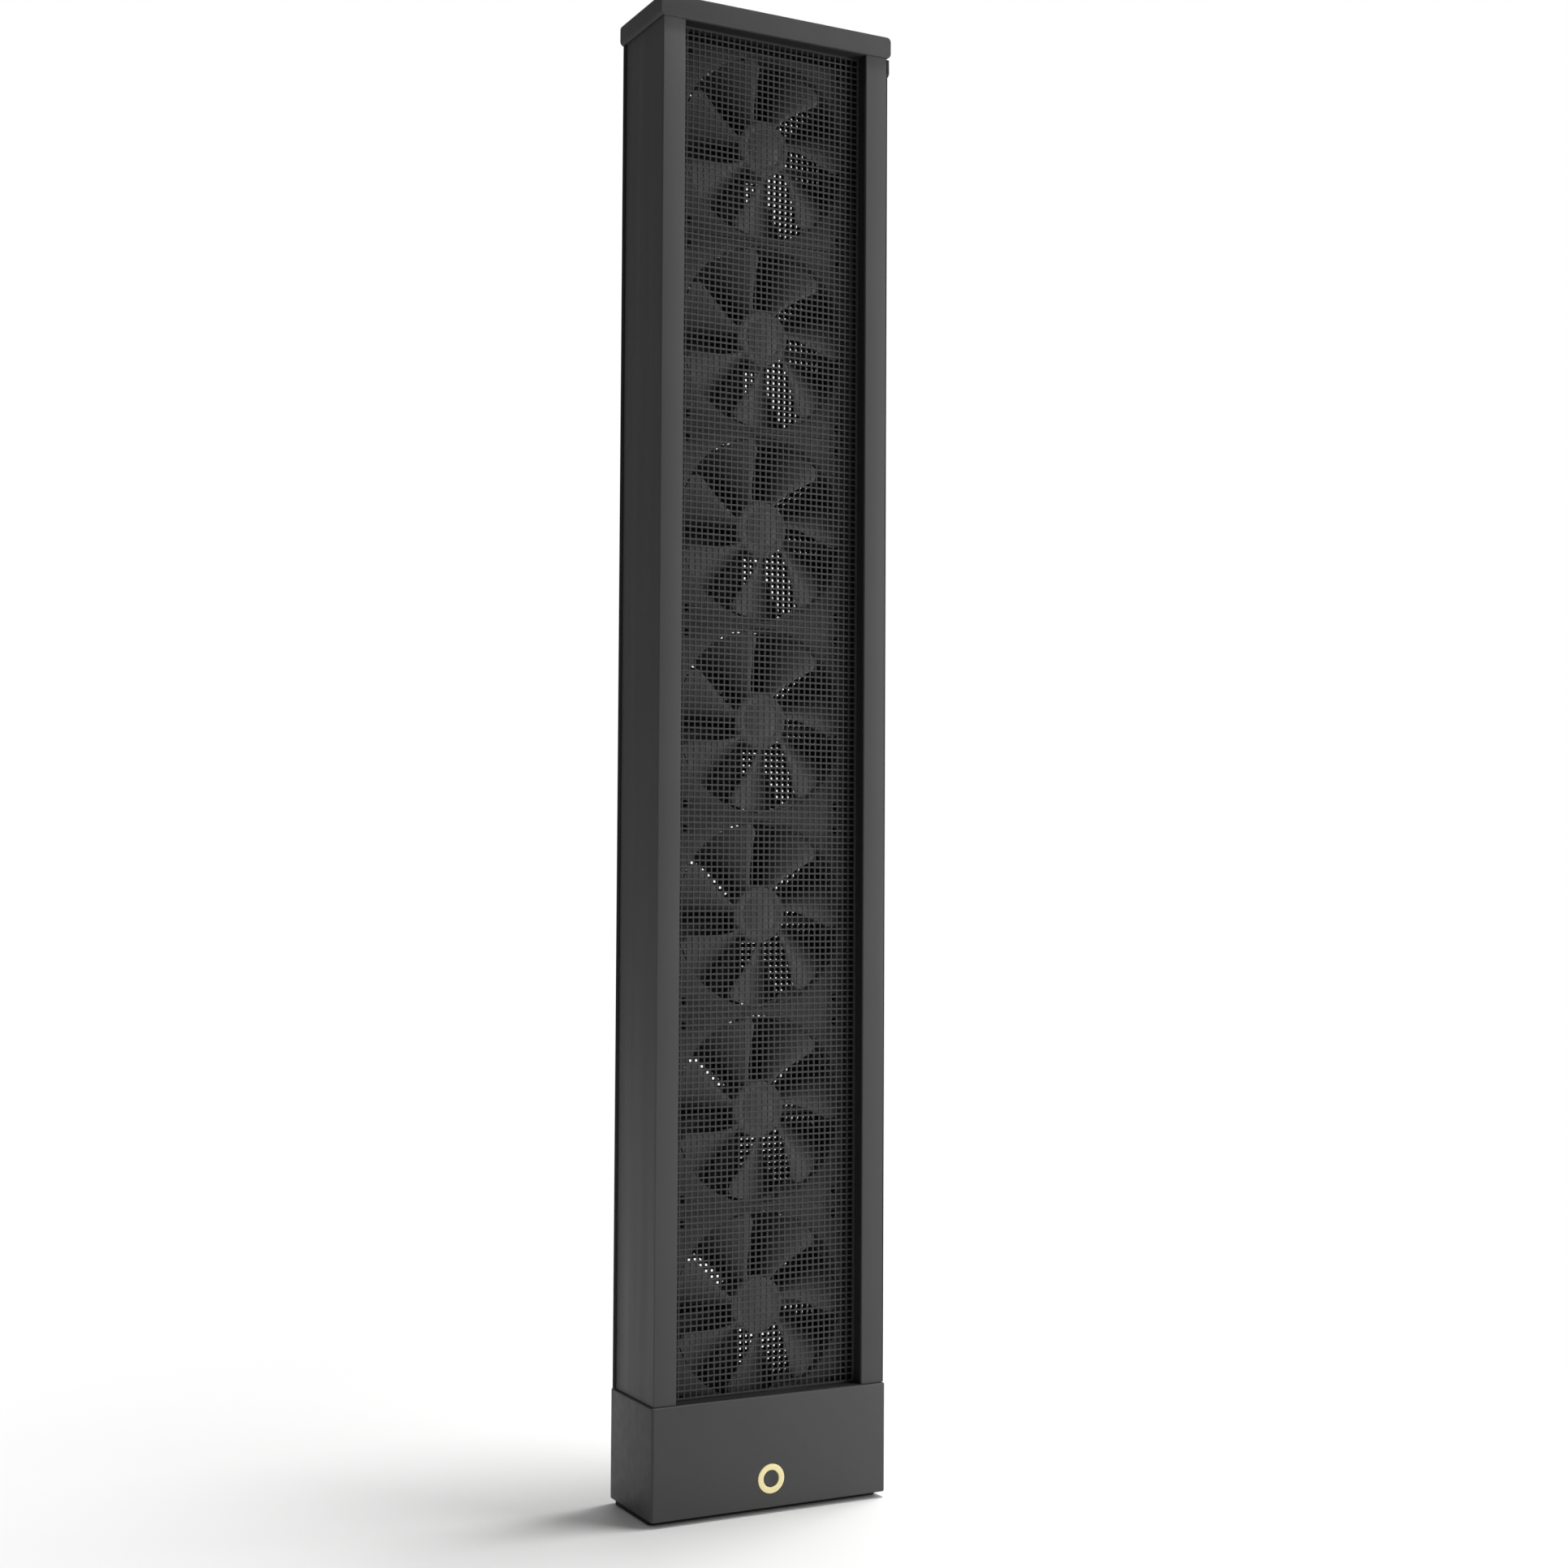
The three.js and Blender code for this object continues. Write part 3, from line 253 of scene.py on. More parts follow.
def carved(name, mesh, cutters, operation="DIFFERENCE"):
    """The mesh with each cutter cut away from it, or joined on."""
    work = linked(name, mesh)
    tools = [linked("cutter", cutter) for cutter in cutters]
    for tool in tools:
        modifier = work.modifiers.new("carving", "BOOLEAN")
        modifier.object = tool
        modifier.operation = operation
        modifier.solver = "EXACT"
    shaped = work.evaluated_get(bpy.context.evaluated_depsgraph_get())
    result = bpy.data.meshes.new_from_object(shaped)
    result.name = name
    for spare in (work, *tools):
        bpy.data.objects.remove(spare)
    return result


# ---------------------------------------------------------------- pieces


def add(name, mesh, body, slot, *nodes, sharp=35, at=(0, 0, 0)):
    """Shows a mesh as a piece of the fan, in place of the CAD nodes named after its slot."""
    made = linked(name, mesh)
    if not mesh.materials:
        mesh.materials.append(MATERIALS[slot])
    mesh.shade_smooth()
    mesh.set_sharp_from_angle(angle=math.radians(sharp))
    made.location = Vector(at) * MM
    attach(made, body)
    if nodes:
        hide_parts(*nodes)
    return made


# ---------------------------------------------------------------- materials


class Finish:
    """A procedural material under construction, fed by the surface's own place on the object."""

    def __init__(self, name, colour, roughness, metallic=0.0, specular=0.5):
        self.material = bpy.data.materials.new(name)
        self.material.use_nodes = True
        self.nodes = self.material.node_tree.nodes
        self.links = self.material.node_tree.links
        self.shader = self.nodes["Principled BSDF"]
        self.colour = colour
        self.roughness = roughness
        self.set("Metallic", metallic)
        self.set("Specular IOR Level", specular)
        place = self.nodes.new("ShaderNodeTexCoord")
        self.place = place.outputs["Object"]
        self.height = None

    def set(self, socket, value):
        self.shader.inputs[socket].default_value = value

    def stretched(self, scale):
        """The place on the surface, scaled along each axis."""
        mapping = self.nodes.new("ShaderNodeMapping")
        mapping.inputs["Scale"].default_value = scale
        self.links.new(self.place, mapping.inputs["Vector"])
        return mapping.outputs["Vector"]

    def noise(self, grain, detail=2.0, stretch=(1, 1, 1)):
        """Noise with a grain of that many millimetres."""
        texture = self.nodes.new("ShaderNodeTexNoise")
        texture.inputs["Scale"].default_value = 1 / (grain * MM)
        texture.inputs["Detail"].default_value = detail
        self.links.new(self.stretched(stretch), texture.inputs["Vector"])
        return texture.outputs["Fac"]

    def axes(self):
        """The place on the surface as its X, Y and Z."""
        parts = self.nodes.new("ShaderNodeSeparateXYZ")
        self.links.new(self.place, parts.inputs["Vector"])
        return parts.outputs

    def cells(self, grain):
        """Distance to the nearest of scattered points, that many millimetres apart."""
        texture = self.nodes.new("ShaderNodeTexVoronoi")
        texture.inputs["Scale"].default_value = 1 / (grain * MM)
        self.links.new(self.place, texture.inputs["Vector"])
        return texture.outputs["Distance"]

    def spread(self, value, low, high, source_low=0.3, source_high=0.7):
        """Maps a value onto a range."""
        node = self.nodes.new("ShaderNodeMapRange")
        node.inputs["From Min"].default_value = source_low
        node.inputs["From Max"].default_value = source_high
        node.inputs["To Min"].default_value = low
        node.inputs["To Max"].default_value = high
        self.links.new(value, node.inputs["Value"])
        return node.outputs["Result"]

    def math(self, operation, first, second=0.0):
        node = self.nodes.new("ShaderNodeMath")
        node.operation = operation
        for socket, value in zip(node.inputs, (first, second)):
            if isinstance(value, (int, float)):
                socket.default_value = value
            else:
                self.links.new(value, socket)
        return node.outputs["Value"]

    def tint(self, factor, other):
        """Lets the colour drift towards another one by the factor."""
        node = self.nodes.new("ShaderNodeMix")
        node.data_type = "RGBA"
        first, second, result = node.inputs[6], node.inputs[7], node.outputs[2]  # the colour ones
        if isinstance(self.colour, tuple):
            first.default_value = (*self.colour, 1)
        else:
            self.links.new(self.colour, first)
        second.default_value = (*other, 1)
        self.links.new(factor, node.inputs[0])
        self.colour = result

    def shine(self, factor, low, high):
        """Lets the roughness drift between two values."""
        self.roughness = self.spread(factor, low, high)

    def bump(self, height, depth):
        """Relief of that depth in millimetres; several calls add up."""
        node = self.nodes.new("ShaderNodeBump")
        node.inputs["Distance"].default_value = depth * MM
        self.links.new(height, node.inputs["Height"])
        if self.height:
            self.links.new(self.height, node.inputs["Normal"])
        self.height = node.outputs["Normal"]

    def done(self):
        for value, socket in ((self.colour, "Base Color"), (self.roughness, "Roughness")):
            if isinstance(value, tuple):
                self.set(socket, (*value, 1))
            elif isinstance(value, float):
                self.set(socket, value)
            else:
                self.links.new(value, self.shader.inputs[socket])
        if self.height:
            self.links.new(self.height, self.shader.inputs["Normal"])
        return self.material


def grey(level, warmth=0.0):
    """A screen grey from 0 to 255 as linear colour, a little red for a positive warmth."""
    def linear(value):
        value /= 255
        return value / 12.92 if value < 0.04045 else ((value + 0.055) / 1.055) ** 2.4
    return (linear(level + warmth), linear(level), linear(level))


def painted_aluminium():
    finish = Finish("painted_aluminium", grey(66), roughness=0.5, specular=0.25)
    finish.tint(finish.noise(grain=60, detail=3), grey(72, warmth=0.6))
    finish.shine(finish.noise(grain=9, detail=3, stretch=(1, 1, 0.04)), low=0.46, high=0.56)
    finish.bump(finish.noise(grain=0.45), depth=0.012)
    finish.bump(finish.noise(grain=1.2, stretch=(1, 1, 0.02)), depth=0.003)
    return finish.done()


def box_plastic():
    finish = Finish("box_plastic", grey(66), roughness=0.48, specular=0.25)
    finish.tint(finish.noise(grain=45), grey(71, warmth=0.8))
    finish.shine(finish.noise(grain=6, detail=3), low=0.42, high=0.52)
    finish.bump(finish.cells(grain=0.55), depth=0.02)
    finish.bump(finish.noise(grain=0.25), depth=0.008)
    return finish.done()


def plain_plastic():
    finish = Finish("plain_plastic", grey(42), roughness=0.55, specular=0.3)
    finish.tint(finish.noise(grain=8, detail=3), grey(36))
    finish.shine(finish.noise(grain=3), low=0.48, high=0.62)
    finish.bump(finish.noise(grain=0.3), depth=0.01)
    return finish.done()


def fan_plastic():
    """Satin; the middle of the fan is painted lighter than its outer faces as painted light against
    the wire mesh's shade, and painted shade takes it almost to black in the depth of the duct.
    """
    finish = Finish("fan_plastic", grey(99), roughness=0.42, specular=0.4)
    finish.tint(finish.noise(grain=25, detail=3), grey(92))
    from_middle = finish.math("ABSOLUTE", finish.axes()["Y"])
    # painted light: inside the outer faces the plastic keeps a lighter grey than on them, to make
    # up for the shade of the wire mesh in front
    outside_painted_light = finish.spread(from_middle, 0, 1, source_low=11.2 * MM, source_high=12.0 * MM)
    # painted shade: deeper in the duct the colour fades to near black, standing in for the shade
    # between the blades
    painted_duct_shade = finish.spread(from_middle, 1, 0, source_low=2.0 * MM, source_high=10.8 * MM)
    finish.tint(outside_painted_light, grey(66))
    finish.tint(painted_duct_shade, grey(10))
    finish.shine(finish.noise(grain=14, detail=4), low=0.36, high=0.5)
    finish.bump(finish.noise(grain=0.5), depth=0.006)
    return finish.done()


def wire_mesh_paint():
    finish = Finish("wire_mesh_paint", grey(60), roughness=0.5, specular=0.27)
    finish.tint(finish.noise(grain=20, detail=3), grey(55))
    finish.shine(finish.noise(grain=1.5), low=0.42, high=0.58)
    finish.bump(finish.noise(grain=0.35, detail=3), depth=0.02)
    return finish.done()


def seal_rubber():
    finish = Finish("seal_rubber", grey(26), roughness=0.75, specular=0.3)
    finish.tint(finish.noise(grain=10, detail=4), grey(32))
    finish.shine(finish.noise(grain=2, detail=3), low=0.68, high=0.85)
    finish.bump(finish.noise(grain=0.4, detail=3), depth=0.03)
    return finish.done()


def foam_black():
    finish = Finish("foam_black", grey(32), roughness=0.95, specular=0.1)
    pores = finish.spread(finish.cells(grain=0.9), 0, 1, source_low=0.1, source_high=0.6)
    finish.tint(pores, grey(18))
    finish.bump(finish.cells(grain=0.9), depth=0.25)
    return finish.done()


def ring_gold():
    """Satin gold with fine turned lines about the button's axis."""
    finish = Finish("ring_gold", (0.95, 0.83, 0.43), roughness=0.34, metallic=0.05)
    finish.tint(finish.noise(grain=9), (0.98, 0.87, 0.48))
    line_pitch = 0.22 * MM
    place = finish.axes()
    across = finish.math("POWER", place["X"], 2.0)
    up = finish.math("POWER", place["Z"], 2.0)
    radius = finish.math("SQRT", finish.math("ADD", across, up))
    lines = finish.math("SINE", finish.math("MULTIPLY", radius, 2 * math.pi / line_pitch))
    finish.bump(lines, depth=0.004)
    finish.shine(finish.noise(grain=2, detail=3), low=0.3, high=0.4)
    return finish.done()


def circuit_board():
    """Green laminate with lighter lines between its fields."""
    field = 14 * MM
    finish = Finish("circuit_board", (0.012, 0.07, 0.035), roughness=0.4)
    bricks = finish.nodes.new("ShaderNodeTexBrick")
    bricks.inputs["Scale"].default_value = 1 / field
    bricks.inputs["Mortar Size"].default_value = 0.01
    finish.links.new(finish.place, bricks.inputs["Vector"])
    finish.tint(bricks.outputs["Fac"], (0.03, 0.13, 0.06))
    finish.shine(finish.noise(grain=3), low=0.32, high=0.48)
    return finish.done()


def screw_steel():
    finish = Finish("screw_steel", (0.42, 0.43, 0.44), roughness=0.34, metallic=1.0)
    finish.tint(finish.noise(grain=2, detail=3), (0.5, 0.5, 0.5))
    finish.shine(finish.noise(grain=1, detail=3), low=0.28, high=0.42)
    finish.bump(finish.noise(grain=0.2), depth=0.006)
    return finish.done()


def bearing_bronze():
    finish = Finish("bearing_bronze", (0.26, 0.145, 0.045), roughness=0.45, metallic=1.0)
    finish.tint(finish.noise(grain=0.6, detail=3), (0.34, 0.2, 0.07))
    finish.bump(finish.cells(grain=0.3), depth=0.02)
    return finish.done()


def coil_copper():
    """Enamelled wire wound in close turns."""
    turn_pitch = 1.2 * MM
    finish = Finish("coil_copper", (0.36, 0.12, 0.045), roughness=0.3, metallic=1.0)
    wave = finish.nodes.new("ShaderNodeTexWave")
    wave.bands_direction = "Y"
    wave.inputs["Scale"].default_value = 1 / turn_pitch
    wave.inputs["Distortion"].default_value = 0.6
    finish.links.new(finish.place, wave.inputs["Vector"])
    finish.tint(finish.noise(grain=2, detail=3), (0.45, 0.17, 0.06))
    finish.bump(wave.outputs["Fac"], depth=0.1)
    return finish.done()


def wire_sheath():
    finish = Finish("wire_sheath", grey(22), roughness=0.5)
    finish.tint(finish.noise(grain=5), grey(30))
    finish.shine(finish.noise(grain=2), low=0.42, high=0.6)
    return finish.done()


MATERIALS = {
    "painted_aluminium": painted_aluminium(),
    "wire_mesh": wire_mesh_paint(),
    "box_plastic": box_plastic(),
    "plain_plastic": plain_plastic(),
    "fan_plastic": fan_plastic(),
    "seal_rubber": seal_rubber(),
    "foam": foam_black(),
    "ring_gold": ring_gold(),
    "circuit_board": circuit_board(),
    "screw_steel": screw_steel(),
    "bearing_bronze": bearing_bronze(),
    "coil_copper": coil_copper(),
    "wire_sheath": wire_sheath(),
}


def finish_kept_nodes():
    """Gives every CAD node its slot's finish, for those that stay in view."""
    for subpart in frame["record"]["subparts"]:
        node = frame["nodes"][subpart["node"]]
        node.data.materials.clear()
        node.data.materials.append(MATERIALS[subpart["material_slot"]])


# ---------------------------------------------------------------- case

GAP = 0.3
STILE_WALL = 1.6
GROOVE_DEPTH = 3.0
LIP_REACH = 2.5
LIP_THICKNESS = 1.5
EDGE = 0.7
LINER = 0.35
LINER_SET_BACK = 1.0
RIB_DEPTH = 0.07  # as a share of the seal's height
RIB_WAVES = 10
CAP_EDGE = 0.7
CAP_CORNER = 3.0
SCREW_HEAD = 1.2
SCREW_SEAT_RADIUS = 3.5
CAP_SCREW_RADIUS = 1.5
THREAD_PITCH = 0.8

case_low, case_high = box_mm("left_stile")
right_high = box_mm("right_stile")[1]
opening_left = box_mm("front_mesh")[0].x + GROOVE_DEPTH - GAP
mesh_front = box_mm("front_mesh")[0].y
mesh_back = box_mm("front_mesh")[1].y
opening_top = box_mm("top_cap")[0].z
fan_left = box_mm("fan_frame_1")[0].x - GAP
fan_front = box_mm("fan_frame_1")[0].y


def mirrored_in_depth(front_half):
    return front_half + [(x, -y, *r) for x, y, *r in reversed(front_half)]


def stile_outlines():
    """The stile's section and the hollow in it, drawn for the left stile."""
    groove_front = mesh_front - GAP
    groove_back = mesh_back + GAP
    lip_back = fan_front - GAP
    lip_front = lip_back - LIP_THICKNESS
    small = 0.25
    outline = mirrored_in_depth([
        (case_low.x, case_low.y, EDGE),
        (opening_left, case_low.y, EDGE),
        (opening_left, groove_front, small),
        (opening_left - GROOVE_DEPTH, groove_front, 0),
        (opening_left - GROOVE_DEPTH, groove_back, 0),
        (opening_left, groove_back, small),
        (opening_left, lip_front, small),
        (fan_left + LIP_REACH, lip_front, small),
        (fan_left + LIP_REACH, lip_back, small),
        (fan_left, lip_back, 0),
    ])
    wall = STILE_WALL
    chamber = mirrored_in_depth([
        (case_low.x + wall, case_low.y + wall),
        (opening_left - wall, case_low.y + wall),
        (opening_left - wall, groove_front - wall),
        (opening_left - GROOVE_DEPTH - wall, groove_front - wall),
        (opening_left - GROOVE_DEPTH - wall, groove_back + wall),
        (opening_left - wall, groove_back + wall),
        (opening_left - wall, lip_front + wall),
        (fan_left - wall, lip_front + wall),
    ])
    return rounded(outline, EDGE), rounded(chamber, 0.4, steps=2)


def add_stiles():
    outlines = stile_outlines()
    left = prism("left_extrusion", "Z", outlines, case_low.z, case_high.z, rim=0.2, steps=2)
    right = left.copy()
    right.transform(Matrix.Rotation(math.pi, 4, "Z"))
    right.name = "right_extrusion"
    add("left_extrusion", left, CASE, "painted_aluminium", "left_stile")
    add("right_extrusion", right, CASE, "painted_aluminium", "right_stile")


def add_recess_shade_liners():
    """Thin black strips that line the recess in front of each mesh and the lips behind it, as
    painted shade: a dark sheet where the recess and the lips lie in shade.
    """
    mesh_room = 0.5
    end_room = 0.1
    inner = opening_left + LINER
    strip_front, strip_back = case_low.y + LINER_SET_BACK, mesh_front - mesh_room
    behind_mesh = mesh_back + mesh_room
    lip_front = fan_front - GAP - LIP_THICKNESS
    lip_end = fan_left + LIP_REACH
    front_strip = rectangle((opening_left, strip_front), (inner, strip_back))
    rear_strip = [
        (opening_left, behind_mesh), (inner, behind_mesh), (inner, lip_front - LINER),
        (lip_end, lip_front - LINER), (lip_end, lip_front), (opening_left, lip_front),
    ]
    bm = bmesh.new()
    for strip in (front_strip, rear_strip):
        for x_side in (-1, 1):
            for y_side in (-1, 1):
                section = [(-x_side * x, y_side * y) for x, y in strip]
                ends = deck + end_room, opening_top - end_room
                add_prism(bm, "Z", [section], *ends, rim=0.1, steps=2)
    half = -opening_left - LINER - end_room
    for y_side in (-1, 1):
        near, far = sorted((y_side * strip_front, y_side * strip_back))
        for base in (deck, opening_top - LINER):
            band = rectangle((near, base), (far, base + LINER))
            add_prism(bm, "X", [band], -half, half, rim=0.1, steps=2)
    # painted shade: the black strips stand in for the shade in the recess and on the lips behind
    # the mesh
    add("recess_shade_liner", closed_mesh(bm, "recess_shade_liner"), CASE, "seal_rubber")


def add_seals():
    """Half-round rubber strips with fine ribs, and the clip that ends the right one."""
    for node, side in (("left_seal", -1), ("right_seal", 1)):
        low, high = box_mm(node)
        middle = (low.y + high.y) / 2
        half = (high.y - low.y) / 2
        height = high.x - low.x
        foot = high.x if side < 0 else low.x
        section = []
        steps = 24
        for i in range(steps + 1):
            angle = math.pi * i / steps
            rib = 1 - RIB_DEPTH + RIB_DEPTH * math.cos(RIB_WAVES * angle)
            out = side * height * rib * math.sin(angle)
            section.append((foot + out, middle + half * math.cos(angle)))
        mesh = prism(f"{node}_strip", "Z", [section], low.z, high.z, rim=0.15, steps=2)
        add(f"{node}_strip", mesh, CASE, "seal_rubber", node)
    low, high = box_mm("seal_clip")
    radius = (high.y - low.y) / 2
    centre = ((high.y + low.y) / 2, low.z + radius)
    outline = arc(centre, radius, 180, 360, 16)
    upper_corners = rounded([(high.y, high.z), (low.y, high.z), centre], 0.5)[:10]
    outline += upper_corners
    mesh = prism("seal_end_clip", "X", [outline], low.x, high.x, rim=0.35)
    add("seal_end_clip", mesh, CASE, "plain_plastic", "seal_clip")


def add_cap():
    """The sleeve over the stile ends, open below, with a sunk seat for each screw."""
    low, high = box_mm("top_cap")
    outer = block("cap_outer", low, high, edge=CAP_EDGE, corners=CAP_CORNER, corner_axis=1)
    inner_low = Vector((case_low.x - GAP, case_low.y - GAP, low.z - CUTTER_REACH))
    inner_high = Vector((right_high.x + GAP, case_high.y + GAP, case_high.z + GAP))
    cutters = [block("cap_inner", inner_low, inner_high, edge=0.3)]
    for node in ("cap_screw_left", "cap_screw_right"):
        screw_low, screw_high = box_mm(node)
        x = (screw_low.x + screw_high.x) / 2
        seat = screw_high.z - SCREW_HEAD - GAP
        outline = circle(SCREW_SEAT_RADIUS, 48, (x, 0))
        cutters.append(prism("screw_seat", "Z", [outline], seat, high.z + CUTTER_REACH))
    sleeve = carved("top_cap_sleeve", outer, cutters)
    add("top_cap_sleeve", sleeve, CASE, "painted_aluminium", "top_cap")


def cross_outline(reach, half_width):
    """The outline of a cross recess, one arm after the other."""
    arm = [(reach, -half_width), (reach, half_width), (half_width, half_width)]
    outline = []
    for turn in range(4):
        cos, sin = math.cos(math.pi / 2 * turn), math.sin(math.pi / 2 * turn)
        outline += [(x * cos - y * sin, x * sin + y * cos) for x, y in arm]
    return outline


def screw_mesh(radius, head_radius, head_height, length):
    """A pan-head screw with a cross recess and a thread; its head stands on z = 0."""
    bm = bmesh.new()
    dome = [(head_radius * math.cos(t), head_height * (0.35 + 0.65 * math.sin(t)))
            for t in (math.pi / 2 * k / 6 for k in range(7))]
    core = radius * 0.8
    profile = [(0, -length), (radius * 0.6, -length)]
    for i in range(int((length - THREAD_PITCH) / THREAD_PITCH)):
        profile.append((core, -length + (i + 0.6) * THREAD_PITCH))
        profile.append((radius, -length + (i + 1.0) * THREAD_PITCH))
    profile += [(core, -0.3), (core, 0), (head_radius - 0.15, 0), (head_radius, 0.12)]
    profile += dome[:-1] + [(0, head_height)]
    add_turned(bm, profile, 40, axis="Z")
    head = closed_mesh(bm, "screw")
    cross = cross_outline(head_radius * 0.55, head_radius * 0.13)
    recess = prism("recess", "Z", [cross], head_height * 0.3, head_height + 1)
    return carved("screw", head, [recess])


def add_cap_screws():
    for node in ("cap_screw_left", "cap_screw_right"):
        low, high = box_mm(node)
        shank = high.z - low.z - SCREW_HEAD
        mesh = screw_mesh(CAP_SCREW_RADIUS, (high.x - low.x) / 2, SCREW_HEAD, shank)
        centre = ((low.x + high.x) / 2, 0, high.z - SCREW_HEAD)
        add(f"{node}_pan_head", mesh, CASE, "screw_steel", node, at=centre)


def add_foam():
    low, high = box_mm("stack_foam")
    mesh = block("foam_strip", low, high, edge=0.9)
    strip = add("foam_strip", mesh, CASE, "foam", "stack_foam")


# ---------------------------------------------------------------- wire meshes

FRONT_COLUMNS, FRONT_ROWS, FRONT_WIRE = 31, 217, 1.1
REAR_COLUMNS, REAR_ROWS, REAR_WIRE = 31, 216, 2.4
REAR_SHIFT = (3.74, 3.0)
WIRE_DEPTH = 0.7
WIRE_EDGE = 0.18
WIRE_STAGGER = 0.08
WIRE_HOLD = 1  # how far each wire runs into the edge strip
MESH_EDGE = 1.5


def add_bar(bm, axis, across, depth, width, low, high):
    """A flattened wire with soft edges, along X or Z."""
    half, deep = width / 2, WIRE_DEPTH / 2
    section = [(u * (half - WIRE_EDGE * a), v * (deep - WIRE_EDGE * b))
               for u, v, a, b in ((1, 1, 0, 1), (1, 1, 1, 0), (-1, 1, 1, 0), (-1, 1, 0, 1),
                                  (-1, -1, 0, 1), (-1, -1, 1, 0), (1, -1, 1, 0), (1, -1, 0, 1))]
    section = [(across + u, depth + v) for u, v in section]
    if axis == "X":
        section = [(v, u) for u, v in section]
    add_prism(bm, axis, [section], low, high)


def wire_places(low, high, count, shift):
    """Where the wires lie between two edges; a shift stands for the cut of the sheet."""
    pitch = (high - low) / count
    first = low + (shift or pitch)
    return [first + pitch * i for i in range(count) if first + pitch * i < high - pitch / 4]


def wire_panel(node, facing, columns, rows, width, shift=(0, 0)):
    """Wires pressed flat into each other, in a thin edge strip."""
    low, high = box_mm(node)
    middle = (low.y + high.y) / 2
    bm = bmesh.new()
    inner_left, inner_right = opening_left + MESH_EDGE, -opening_left - MESH_EDGE
    inner_low, inner_high = low.z + MESH_EDGE, opening_top - MESH_EDGE
    hole = rectangle((inner_left, inner_low), (inner_right, inner_high))
    rim = rectangle((low.x, low.z), (high.x, high.z))
    add_prism(bm, "Y", [rim, hole], low.y, high.y, rim=0.2, steps=2)
    depth = middle - facing * WIRE_STAGGER
    for x in wire_places(inner_left, inner_right, columns, shift[0]):
        add_bar(bm, "Z", x, depth, width, inner_low - WIRE_HOLD, inner_high + WIRE_HOLD)
    depth = middle + facing * WIRE_STAGGER
    for z in wire_places(inner_low, inner_high, rows, shift[1]):
        add_bar(bm, "X", z, depth, width, inner_left - WIRE_HOLD, inner_right + WIRE_HOLD)
    return closed_mesh(bm, f"{node}_wires")


def add_meshes():
    front = wire_panel("front_mesh", -1, FRONT_COLUMNS, FRONT_ROWS, FRONT_WIRE)
    rear = wire_panel("rear_mesh", 1, REAR_COLUMNS, REAR_ROWS, REAR_WIRE, REAR_SHIFT)
    add("front_mesh_wires", front, CASE, "wire_mesh", "front_mesh", sharp=50)
    add("rear_mesh_wires", rear, CASE, "wire_mesh", "rear_mesh", sharp=50)


# ---------------------------------------------------------------- control box

BASE_CORNER = 1.6
BASE_EDGE = 1.0
BASE_WALL = 2.5
WELL_ROOM = 0.3
UNDER_DECK = 1.2  # how far below the deck's face the parts joined to it end
SPIGOT_WIDTH = 6.6
SPIGOT_HALF_DEPTH = 9
BOSS_RADIUS = 3.5
BOSS_BORE = 1.8
INLET_HOLE_RADIUS = 4.5
LOOM_HOLE_RADIUS = 2.2
LOOM_SET_BACK = 2.5
LOOM_HOLE_DEPTH = 4
BUTTON_RADIUS = 4.85
BUTTON_COLLAR = 1.2
BUTTON_DISH = 0.35
DISH_STEPS = 8
RING_INNER_RIM = 0.25
NOZZLE_LENGTH = 2.5
NOZZLE_RADIUS = 4.2
SOCKET_DEPTH = 9.0
SOCKET_RADIUS = 2.8

base_low, base_high = box_mm("base_cover")
deck = case_low.z - GAP
button_low, button_high = box_mm("button_cap")
button_z = (button_low.z + button_high.z) / 2
ring_low, ring_high = box_mm("button_ring")
ring_radius = (ring_high.x - ring_low.x) / 2
plate_high = box_mm("base_plate")[1]


